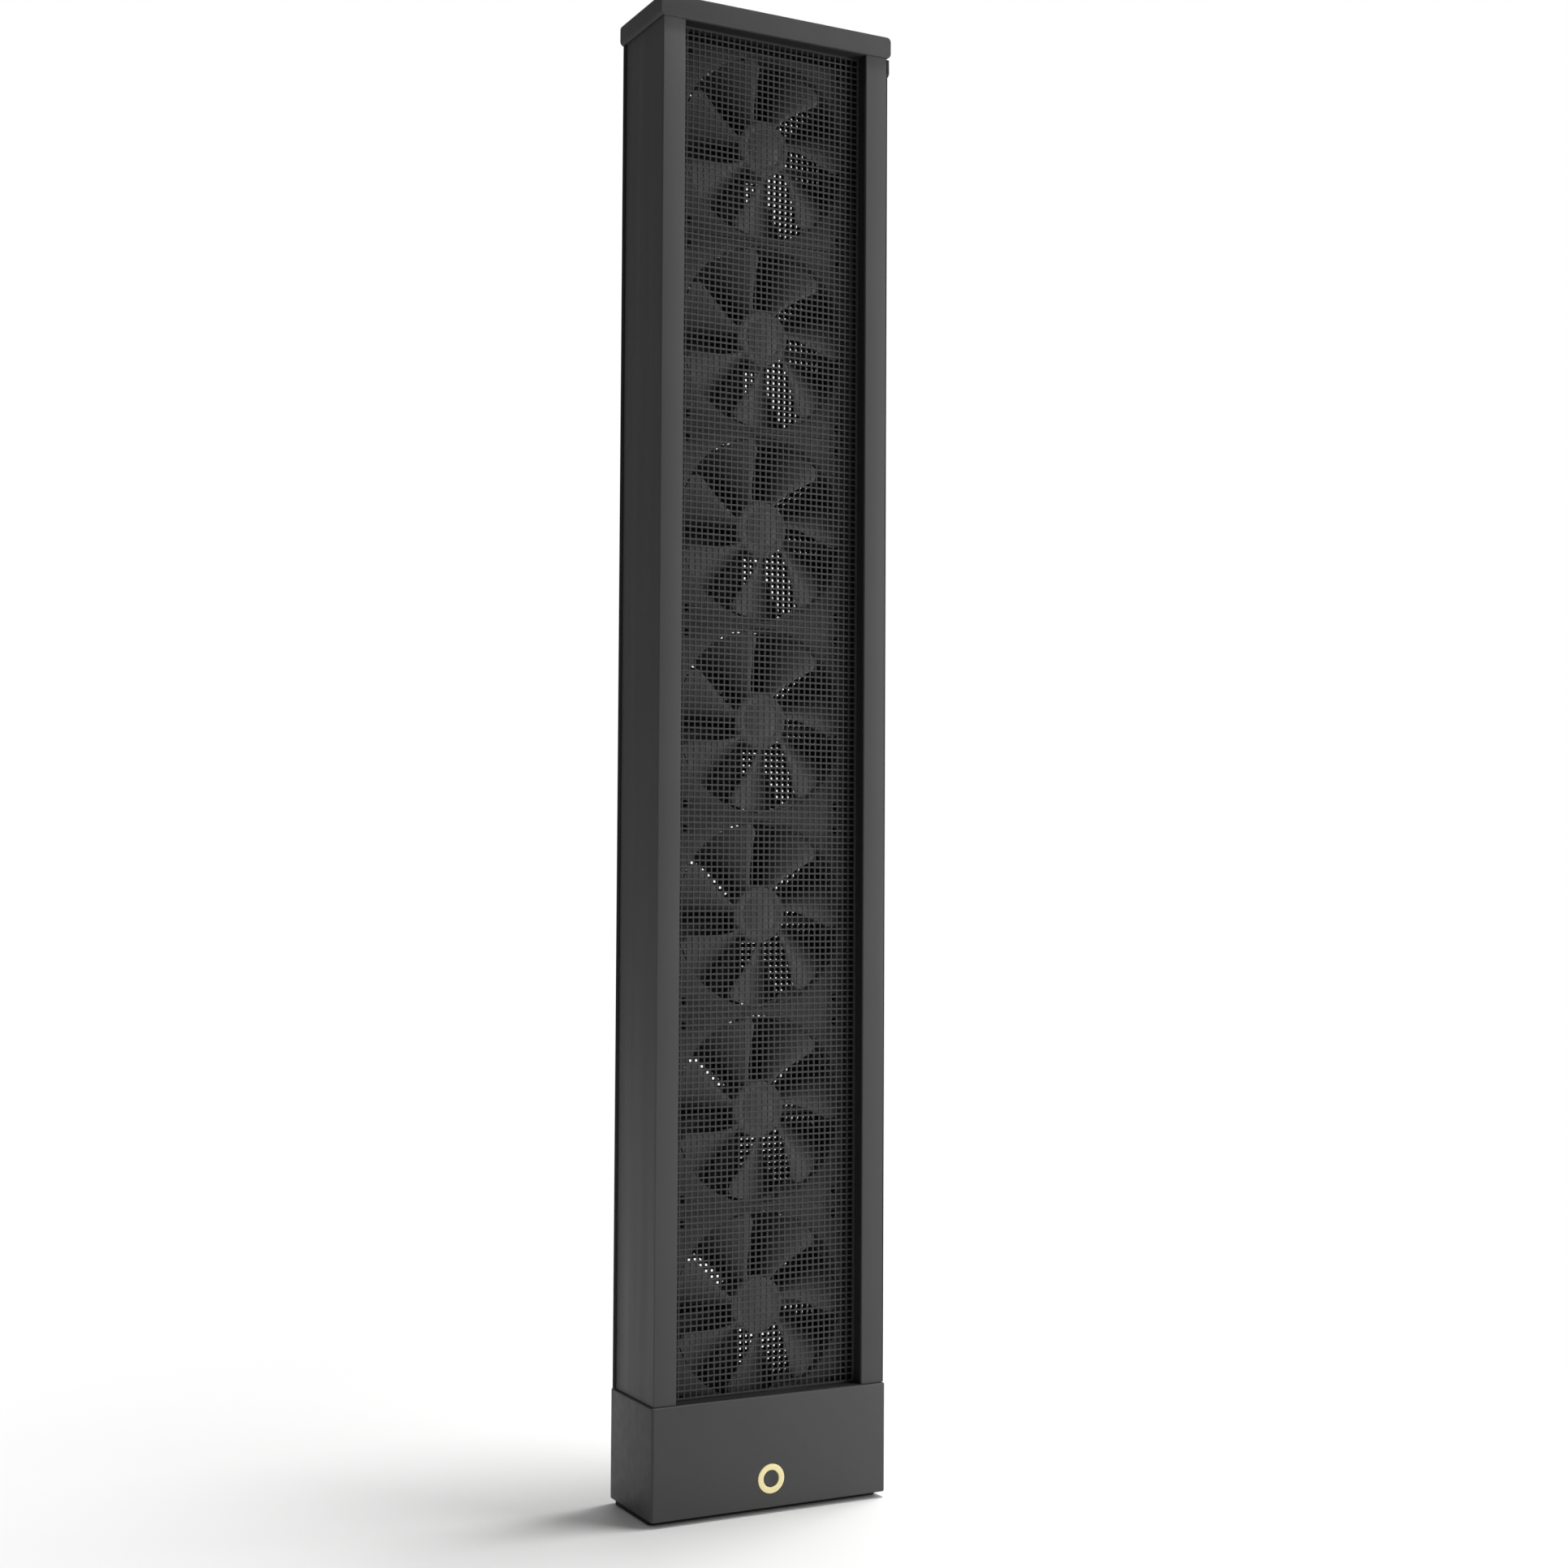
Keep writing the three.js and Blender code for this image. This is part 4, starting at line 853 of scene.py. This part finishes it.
def add_base_cover():
    """Four walls and a deck, with a well for the lowest fan and a spigot for each stile."""
    high = Vector((base_high.x, base_high.y, deck))
    outer = block("cover_outer", base_low, high, edge=BASE_EDGE, corners=BASE_CORNER)
    room_low = base_low + Vector((BASE_WALL, BASE_WALL, -CUTTER_REACH))
    room_high = high - Vector((BASE_WALL, BASE_WALL, BASE_WALL))
    shell = carved("cover_shell", outer, [block("room", room_low, room_high, edge=0.4)])

    fan_low, fan_high = box_mm("fan_frame_1")
    joint = deck - UNDER_DECK
    wide = Vector((WELL_ROOM, WELL_ROOM, 0))
    well_low = Vector((fan_low.x, fan_low.y, fan_low.z - GAP)) - wide
    well_high = Vector((fan_high.x, fan_high.y, deck + CUTTER_REACH)) + wide
    tub = Vector((STILE_WALL, STILE_WALL, 0))
    tub_high = Vector((well_high.x, well_high.y, joint)) + tub
    joined = [block("tub", well_low - tub - Vector((0, 0, STILE_WALL)), tub_high)]
    spigot_outer = -case_low.x - STILE_WALL - GAP
    spigot_inner = spigot_outer - SPIGOT_WIDTH
    for side in (-1, 1):
        near, far = sorted((side * spigot_outer, side * spigot_inner))
        joined.append(block("spigot", (near, -SPIGOT_HALF_DEPTH, joint),
                            (far, SPIGOT_HALF_DEPTH, base_high.z), edge=0.5))
    for node in ("base_screw_1", "base_screw_2", "base_screw_3", "base_screw_4"):
        screw_low, screw_high = box_mm(node)
        centre = ((screw_low.x + screw_high.x) / 2, (screw_low.y + screw_high.y) / 2)
        boss = [circle(BOSS_RADIUS, 32, centre), circle(BOSS_BORE, 20, centre)]
        joined.append(prism("boss", "Z", boss, plate_high.z + GAP, joint))
    shell = carved("cover_shell", shell, joined, "UNION")

    inlet_low, inlet_high = box_mm("power_inlet")
    inlet = ((inlet_low.x + inlet_high.x) / 2, (inlet_low.z + inlet_high.z) / 2)
    loom = (opening_left + LOOM_SET_BACK, tub_high.y + LOOM_SET_BACK)
    front, back = base_low.y, base_high.y
    button = (0, button_z)
    cutters = [block("well", well_low, well_high)]
    for name, axis, outline, start, end in (
        ("button_hole", "Y", circle(BUTTON_RADIUS + GAP, 64, button),
         front - CUTTER_REACH, front + CUTTER_REACH),
        ("ring_seat", "Y", circle(ring_radius + GAP, 96, button),
         front - CUTTER_REACH, ring_high.y + GAP),
        ("inlet_hole", "Y", circle(INLET_HOLE_RADIUS, 48, inlet),
         back - CUTTER_REACH, back + CUTTER_REACH),
        ("loom_hole", "Z", circle(LOOM_HOLE_RADIUS, 24, loom),
         deck - LOOM_HOLE_DEPTH, deck + CUTTER_REACH),
    ):
        cutters.append(prism(name, axis, [outline], start, end))
    shell = carved("base_cover_shell", shell, cutters)
    add("base_cover_shell", shell, CASE, "box_plastic", "base_cover")


def add_base_underside():
    low, high = box_mm("base_pad")
    mesh = block("foot_pad", low, high, edge=0.5, corners=3.0)
    add("foot_pad", mesh, CASE, "seal_rubber", "base_pad")


def add_button():
    """The ring lies in its seat; the button has a dished face and a soft rim."""
    front = ring_low.y
    back = ring_high.y
    inner = BUTTON_RADIUS + GAP
    rim = RING_INNER_RIM
    profile = [(inner, back), (inner, front + rim)]
    profile += [(inner + rim * (1 - math.cos(t)), front + rim * (1 - math.sin(t)))
                for t in (math.pi / 2 * k / 4 for k in range(1, 5))]
    profile += round_end(ring_radius, front, rim=0.3)
    profile += [(ring_radius, back), (inner, back)]
    ring = turned("button_bezel", profile, 128)
    add("button_bezel", ring, CASE, "ring_gold", "button_ring", at=(0, 0, button_z))

    low, high = button_low, button_high
    flange = (high.x - low.x) / 2
    collar = high.y - BUTTON_COLLAR
    profile = []
    for k in range(DISH_STEPS + 1):
        depth = BUTTON_DISH * (1 - (k / DISH_STEPS) ** 2)
        profile.append((BUTTON_RADIUS * 0.9 * k / DISH_STEPS, low.y + depth))
    profile += round_end(BUTTON_RADIUS, low.y, rim=0.35)[1:]
    profile += [(BUTTON_RADIUS, collar), (flange, collar), (flange, high.y), (0, high.y)]
    cap = turned("button_dished_cap", profile, 96)
    add("button_dished_cap", cap, "button", "box_plastic", "button_cap", at=(0, 0, button_z))


def add_inlet():
    """The barrel socket: a housing inside, its nozzle in the rear wall and a metal pin."""
    low, high = box_mm("power_inlet")
    centre = ((low.x + high.x) / 2, 0, (low.z + high.z) / 2)
    mouth = high.y
    housing_back = mouth - NOZZLE_LENGTH
    half = (high.x - low.x) / 2
    housing = block("inlet_housing", (-half, low.y, -half), (half, housing_back, half), edge=0.5)
    chamfer = 0.4
    nozzle = turned("nozzle", [
        (0, housing_back - 1), (NOZZLE_RADIUS, housing_back - 1), (NOZZLE_RADIUS, mouth - chamfer),
        (NOZZLE_RADIUS - chamfer, mouth), (0, mouth),
    ], 48)
    solid = carved("inlet_socket", housing, [nozzle], "UNION")
    floor = mouth - SOCKET_DEPTH
    hole = prism("bore", "Y", [circle(SOCKET_RADIUS, 40)], floor, mouth + CUTTER_REACH)
    socket = carved("inlet_socket", solid, [hole])
    add("inlet_socket", socket, CASE, "plain_plastic", "power_inlet", at=centre)
    pin = turned("inlet_pin", [(0, floor - 1), (1, floor - 1), (1, mouth - 1.8),
                               (0.8, mouth - 1.3), (0.4, mouth - 1), (0, mouth - 1)], 24)
    add("inlet_pin", pin, CASE, "screw_steel", at=centre)


# ---------------------------------------------------------------- fans

HALF_PITCH = 60
BORE_MARGIN = 2.5
DUCT_WALL = 1.7
DUCT_LAP = 0.6  # how far the duct and the posts run into each flange
FLANGE = 3.6
FLANGE_CORNER = 4.5
HOLE_INSET = 7.5
HOLE_RADIUS = 2.15
POST_RADIUS = 4.2
STRUT = 5.0
STRUT_DEPTH = 3.0
STRUT_FILLET = 2.0
SPIDER_LAP = 0.8
MOTOR_RADIUS = 17.0
TUBE_BORE = 3.3
TUBE_RADIUS = 4.5
TUBE_LENGTH = 13.5
TUBE_EDGE = 0.3
MOTOR_RING = (13.5, 13.9, 15.6, 16.0)  # radii of the raised ring on the motor plate
HUB_RADIUS = 17.5
HUB_WALL = 2.5
HUB_FACE = 2
HUB_LENGTH = 18
SHAFT_RADIUS = 1.5
BLADES = 7
BLADE_SPANS = 12
BLADE_STEPS = 14
BLADE_AXIAL_LENGTH = 16.5
BLADE_CURL = 2.0
BLADE_TIP_GAP = 1.5
TIP_CORNER = 0.86  # the span at which the front corner of the tip starts to round off
TIP_TRIM = 5.0

frame_low, frame_high = box_mm("fan_frame_1")
half_fan = (frame_high.x - frame_low.x) / 2
half_fan_depth = (frame_high.y - frame_low.y) / 2
bore = HALF_PITCH - BORE_MARGIN
hub_front = box_mm("impeller_1")[0].y
fan_centres = {n: (0, 0, sum(box_mm(f"fan_frame_{n}"), Vector()).z / 2) for n in FAN_NUMBERS}


def strut_windows():
    """The four openings between the motor plate, the duct and the struts."""
    windows = []
    half = STRUT / 2
    outer_steps, inner_steps = 24, 10
    corners = {0, outer_steps, outer_steps + 1, outer_steps + inner_steps + 1}
    inner_start = math.degrees(math.asin(half / MOTOR_RADIUS))
    outer_start = math.degrees(math.asin(half / bore))
    for start in (0, 90, 180, 270):
        end = start + 90
        outline = arc((0, 0), bore, start + outer_start, end - outer_start, outer_steps)
        outline += arc((0, 0), MOTOR_RADIUS, end - inner_start, start + inner_start, inner_steps)
        outline = [(*p, STRUT_FILLET if i in corners else 0) for i, p in enumerate(outline)]
        windows.append(rounded(outline, 0))
    return windows


def fan_frame_mesh():
    """Two square flanges joined by a round duct and four posts, with struts to the motor plate."""
    bm = bmesh.new()
    front, back = -half_fan_depth, half_fan_depth
    corner = (half_fan, half_fan)
    square = rounded(rectangle((-half_fan, -half_fan), corner), FLANGE_CORNER, steps=8)
    inset_hole = HALF_PITCH - HOLE_INSET
    holes = [(x * inset_hole, z * inset_hole) for x in (-1, 1) for z in (-1, 1)]
    hole_outlines = [circle(HOLE_RADIUS, 24, centre) for centre in holes]
    flange = [square, circle(bore, 128), *hole_outlines]
    add_prism(bm, "Y", flange, front, front + FLANGE, rim=0.5)
    add_prism(bm, "Y", flange, back - FLANGE, back, rim=0.5)
    between = front + FLANGE - DUCT_LAP, back - FLANGE + DUCT_LAP
    add_prism(bm, "Y", [circle(bore + DUCT_WALL, 128), circle(bore, 128)], *between)
    for centre in holes:
        post = [circle(POST_RADIUS, 32, centre), circle(HOLE_RADIUS, 24, centre)]
        add_prism(bm, "Y", post, *between)
    plate_front = back - STRUT_DEPTH
    spider = [circle(bore + SPIDER_LAP, 128), *strut_windows()]
    add_prism(bm, "Y", spider, plate_front, back - 0.15, rim=0.6)
    root, end = plate_front + 1, plate_front - TUBE_LENGTH
    tube = [(TUBE_BORE, root), (TUBE_RADIUS, root), (TUBE_RADIUS, end + TUBE_EDGE),
            (TUBE_RADIUS - TUBE_EDGE, end), (TUBE_BORE + TUBE_EDGE, end),
            (TUBE_BORE, end + TUBE_EDGE), (TUBE_BORE, root)]
    add_turned(bm, tube, 40)
    foot, inner, outer, wall = MOTOR_RING
    step = [(0, back - 0.3), (foot, back - 0.3), (inner, back), (outer, back), (wall, back - 0.4),
            (wall, back - 0.9), (0, back - 0.9)]
    add_turned(bm, step, 64)
    return closed_mesh(bm, "fan_frame")


def lead_angle(span):
    """Where the blade's front edge lies, in degrees, from its root at 0 to its tip at 1."""
    return 60 - 20 * span - 3 * math.sin(math.pi * span)


def chord_angle(span):
    """How wide the blade is there, in degrees about the axle."""
    return 26 + 22 * span + 2 * math.sin(math.pi * span)


def blade_point(span, along):
    """A point on the blade's middle surface: along runs from the front edge to the rear one."""
    tip = bore - BLADE_TIP_GAP
    root = HUB_RADIUS - HUB_WALL / 2
    radius = root + span * (tip - root)
    corner = max(0, span - TIP_CORNER) / (1 - TIP_CORNER)
    trim = TIP_TRIM * corner ** 2 * (1 - along) ** 3
    angle = math.radians(lead_angle(span) + trim + along * (chord_angle(span) - trim))
    depth = hub_front + 1 + BLADE_AXIAL_LENGTH * along ** BLADE_CURL
    return Vector((radius * math.cos(angle), depth, radius * math.sin(angle)))


def add_blade(bm, turn):
    """One blade: a cambered sheet, thickest a third of the way back and thin at its rear edge."""
    rotation = Matrix.Rotation(turn, 3, "Y")
    sheets = []
    reach = 1e-3
    for side in (-1, 1):
        sheet = []
        for i in range(BLADE_SPANS + 1):
            row = []
            for j in range(BLADE_STEPS + 1):
                span = i / BLADE_SPANS
                along = (1 - math.cos(math.pi * j / BLADE_STEPS)) / 2
                here = blade_point(span, along)
                out = blade_point(span + reach, along) - here
                across = blade_point(span, along + reach) - here
                normal = out.cross(across).normalized()
                bulge = math.sqrt(max(0, along)) * (1 - along) * 2.6 + 0.25 * along
                half = (0.12 + 0.78 * min(1, bulge)) * (1.15 - 0.35 * span)
                if j in (0, BLADE_STEPS):
                    half *= 0.35
                row.append(bm.verts.new(rotation @ (here + normal * side * half)))
            sheet.append(row)
        sheets.append(sheet)
    under, over = sheets
    for i in range(BLADE_SPANS):
        for j in range(BLADE_STEPS):
            bm.faces.new((over[i][j], over[i + 1][j], over[i + 1][j + 1], over[i][j + 1]))
            bm.faces.new((under[i][j], under[i][j + 1], under[i + 1][j + 1], under[i + 1][j]))
    for j in range(BLADE_STEPS):
        bm.faces.new((over[0][j], over[0][j + 1], under[0][j + 1], under[0][j]))
        bm.faces.new((over[-1][j + 1], over[-1][j], under[-1][j], under[-1][j + 1]))
    for i in range(BLADE_SPANS):
        bm.faces.new((over[i + 1][0], over[i][0], under[i][0], under[i + 1][0]))
        bm.faces.new((over[i][-1], over[i + 1][-1], under[i + 1][-1], under[i][-1]))


def impeller_mesh():
    """The cup-shaped hub, its shaft and the blades."""
    bm = bmesh.new()
    back = hub_front + HUB_LENGTH
    floor = hub_front + HUB_FACE
    edge = 0.3
    shaft_end = box_mm("impeller_1")[1].y
    groove = [(11.5, hub_front), (11.8, hub_front + 0.12), (12.1, hub_front)]
    profile = [(0, hub_front), *groove, *round_end(HUB_RADIUS, hub_front, rim=1.6, steps=6)]
    profile += [(HUB_RADIUS, back - edge), (HUB_RADIUS - edge, back),
                (HUB_RADIUS - HUB_WALL, back), (HUB_RADIUS - HUB_WALL, floor),
                (SHAFT_RADIUS, floor), (SHAFT_RADIUS, shaft_end - edge),
                (SHAFT_RADIUS - edge, shaft_end), (0, shaft_end)]
    add_turned(bm, profile, 96)
    for i in range(BLADES):
        add_blade(bm, 2 * math.pi * i / BLADES)
    return closed_mesh(bm, "impeller")


def add_fans():
    housing = fan_frame_mesh()
    rotor = impeller_mesh()
    for number in FAN_NUMBERS:
        centre = fan_centres[number]
        node = f"impeller_{number}"
        add(f"fan_housing_{number}", housing, CASE, "fan_plastic", f"fan_frame_{number}", at=centre)
        add(f"rotor_{number}", rotor, node, "fan_plastic", node, at=centre, sharp=45)


# ---------------------------------------------------------------- light, floor and camera

CAMERA_PLACE = Vector((-0.6293, -1.2546, 0.3870))
CAMERA_YAW = 27.45
CAMERA_PITCH = 2.28
CAMERA_ROLL = 0.30
FOCAL_PIXELS = 2766.9
IMAGE_SIDE = 1932
SENSOR = 36.0

# name, place, target, size, power in watts
LAMPS = (
    ("key", (0.75, -0.72, 0.5), (0, 0, 0.45), (0.45, 1.7), 10.6),
    ("left_strip", (-1.25, -0.35, 0.5), (0, 0, 0.45), (0.2, 1.8), 0.5),
    ("top", (0.45, 0.0, 2.4), (0, 0, 0), (0.6, 0.6), 54),
    ("back", (0.9, 2.1, 1.2), (0, 0, 0.45), (1.2, 1.8), 13.5),
)
WORLD_LEVEL = 0.22
FLOOR_RADIUS = 9000
FLOOR_COLOUR = (0.8, 0.8, 0.795, 1)
FADE_START = 0.08
FADE_END = 0.65


def add_camera():
    yaw, pitch, roll = (math.radians(a) for a in (CAMERA_YAW, CAMERA_PITCH, CAMERA_ROLL))
    flat = math.cos(pitch)
    ahead = Vector((math.sin(yaw) * flat, math.cos(yaw) * flat, math.sin(pitch)))
    level = Vector((math.cos(yaw), -math.sin(yaw), 0))
    up = level.cross(ahead)
    right = level * math.cos(roll) + up * math.sin(roll)
    up = up * math.cos(roll) - level * math.sin(roll)
    data = bpy.data.cameras.new("camera")
    data.sensor_width = SENSOR
    data.lens = FOCAL_PIXELS / IMAGE_SIDE * SENSOR
    data.clip_start = 0.01
    data.clip_end = 100
    camera = linked("camera", data)
    camera.matrix_world = Matrix((
        (right.x, up.x, -ahead.x, CAMERA_PLACE.x),
        (right.y, up.y, -ahead.y, CAMERA_PLACE.y),
        (right.z, up.z, -ahead.z, CAMERA_PLACE.z),
        (0, 0, 0, 1),
    ))
    bpy.context.scene.camera = camera


def add_lights():
    for name, place, target, size, power in LAMPS:
        data = bpy.data.lights.new(name, "AREA")
        data.shape = "RECTANGLE"
        data.size, data.size_y = size
        data.energy = power
        light = linked(name, data)
        light.location = place
        light.rotation_mode = "QUATERNION"
        light.rotation_quaternion = (Vector(target) - Vector(place)).to_track_quat("-Z", "Y")


def add_world():
    """Plain white to the camera and through glass, and a soft level for all other light."""
    world = bpy.data.worlds.new("studio")
    bpy.context.scene.world = world
    world.use_nodes = True
    nodes, links = world.node_tree.nodes, world.node_tree.links
    background = nodes["Background"]
    background.inputs["Color"].default_value = (1, 1, 1, 1)
    rays = nodes.new("ShaderNodeLightPath")
    seen = nodes.new("ShaderNodeMath")
    seen.operation = "MAXIMUM"
    links.new(rays.outputs["Is Camera Ray"], seen.inputs[0])
    links.new(rays.outputs["Is Transmission Ray"], seen.inputs[1])
    level = nodes.new("ShaderNodeMapRange")
    level.inputs["To Min"].default_value = WORLD_LEVEL
    level.inputs["To Max"].default_value = 1.0
    links.new(seen.outputs["Value"], level.inputs["Value"])
    links.new(level.outputs["Result"], background.inputs["Strength"])


def add_floor():
    """A pale round floor that fades to white with the distance from the fan."""
    bm = bmesh.new()
    bmesh.ops.create_circle(bm, cap_ends=True, segments=96, radius=FLOOR_RADIUS)
    mesh = closed_mesh(bm, "floor")
    floor = linked("floor", mesh)
    material = bpy.data.materials.new("pale_floor")
    material.use_nodes = True
    nodes, links = material.node_tree.nodes, material.node_tree.links
    shader = nodes["Principled BSDF"]
    shader.inputs["Base Color"].default_value = FLOOR_COLOUR
    shader.inputs["Roughness"].default_value = 0.9
    shader.inputs["Specular IOR Level"].default_value = 0.1
    glow = nodes.new("ShaderNodeEmission")
    place = nodes.new("ShaderNodeTexCoord")
    length = nodes.new("ShaderNodeVectorMath")
    length.operation = "LENGTH"
    links.new(place.outputs["Object"], length.inputs[0])
    fade = nodes.new("ShaderNodeMapRange")
    fade.interpolation_type = "SMOOTHSTEP"
    fade.inputs["From Min"].default_value = FADE_START
    fade.inputs["From Max"].default_value = FADE_END
    links.new(length.outputs["Value"], fade.inputs["Value"])
    rays = nodes.new("ShaderNodeLightPath")
    seen = nodes.new("ShaderNodeMath")
    seen.operation = "MULTIPLY"
    links.new(rays.outputs["Is Camera Ray"], seen.inputs[0])
    links.new(fade.outputs["Result"], seen.inputs[1])
    mix = nodes.new("ShaderNodeMixShader")
    links.new(seen.outputs["Value"], mix.inputs[0])
    links.new(shader.outputs["BSDF"], mix.inputs[1])
    links.new(glow.outputs["Emission"], mix.inputs[2])
    links.new(mix.outputs["Shader"], nodes["Material Output"].inputs["Surface"])
    mesh.materials.append(material)


# ---------------------------------------------------------------- the whole

add_camera()
add_world()
add_lights()
add_floor()
finish_kept_nodes()
add_stiles()
add_recess_shade_liners()
add_seals()
add_cap()
add_cap_screws()
add_foam()
add_meshes()
add_base_cover()
add_base_underside()
add_button()
add_inlet()
add_fans()

bpy.context.scene.view_settings.view_transform = "Standard"
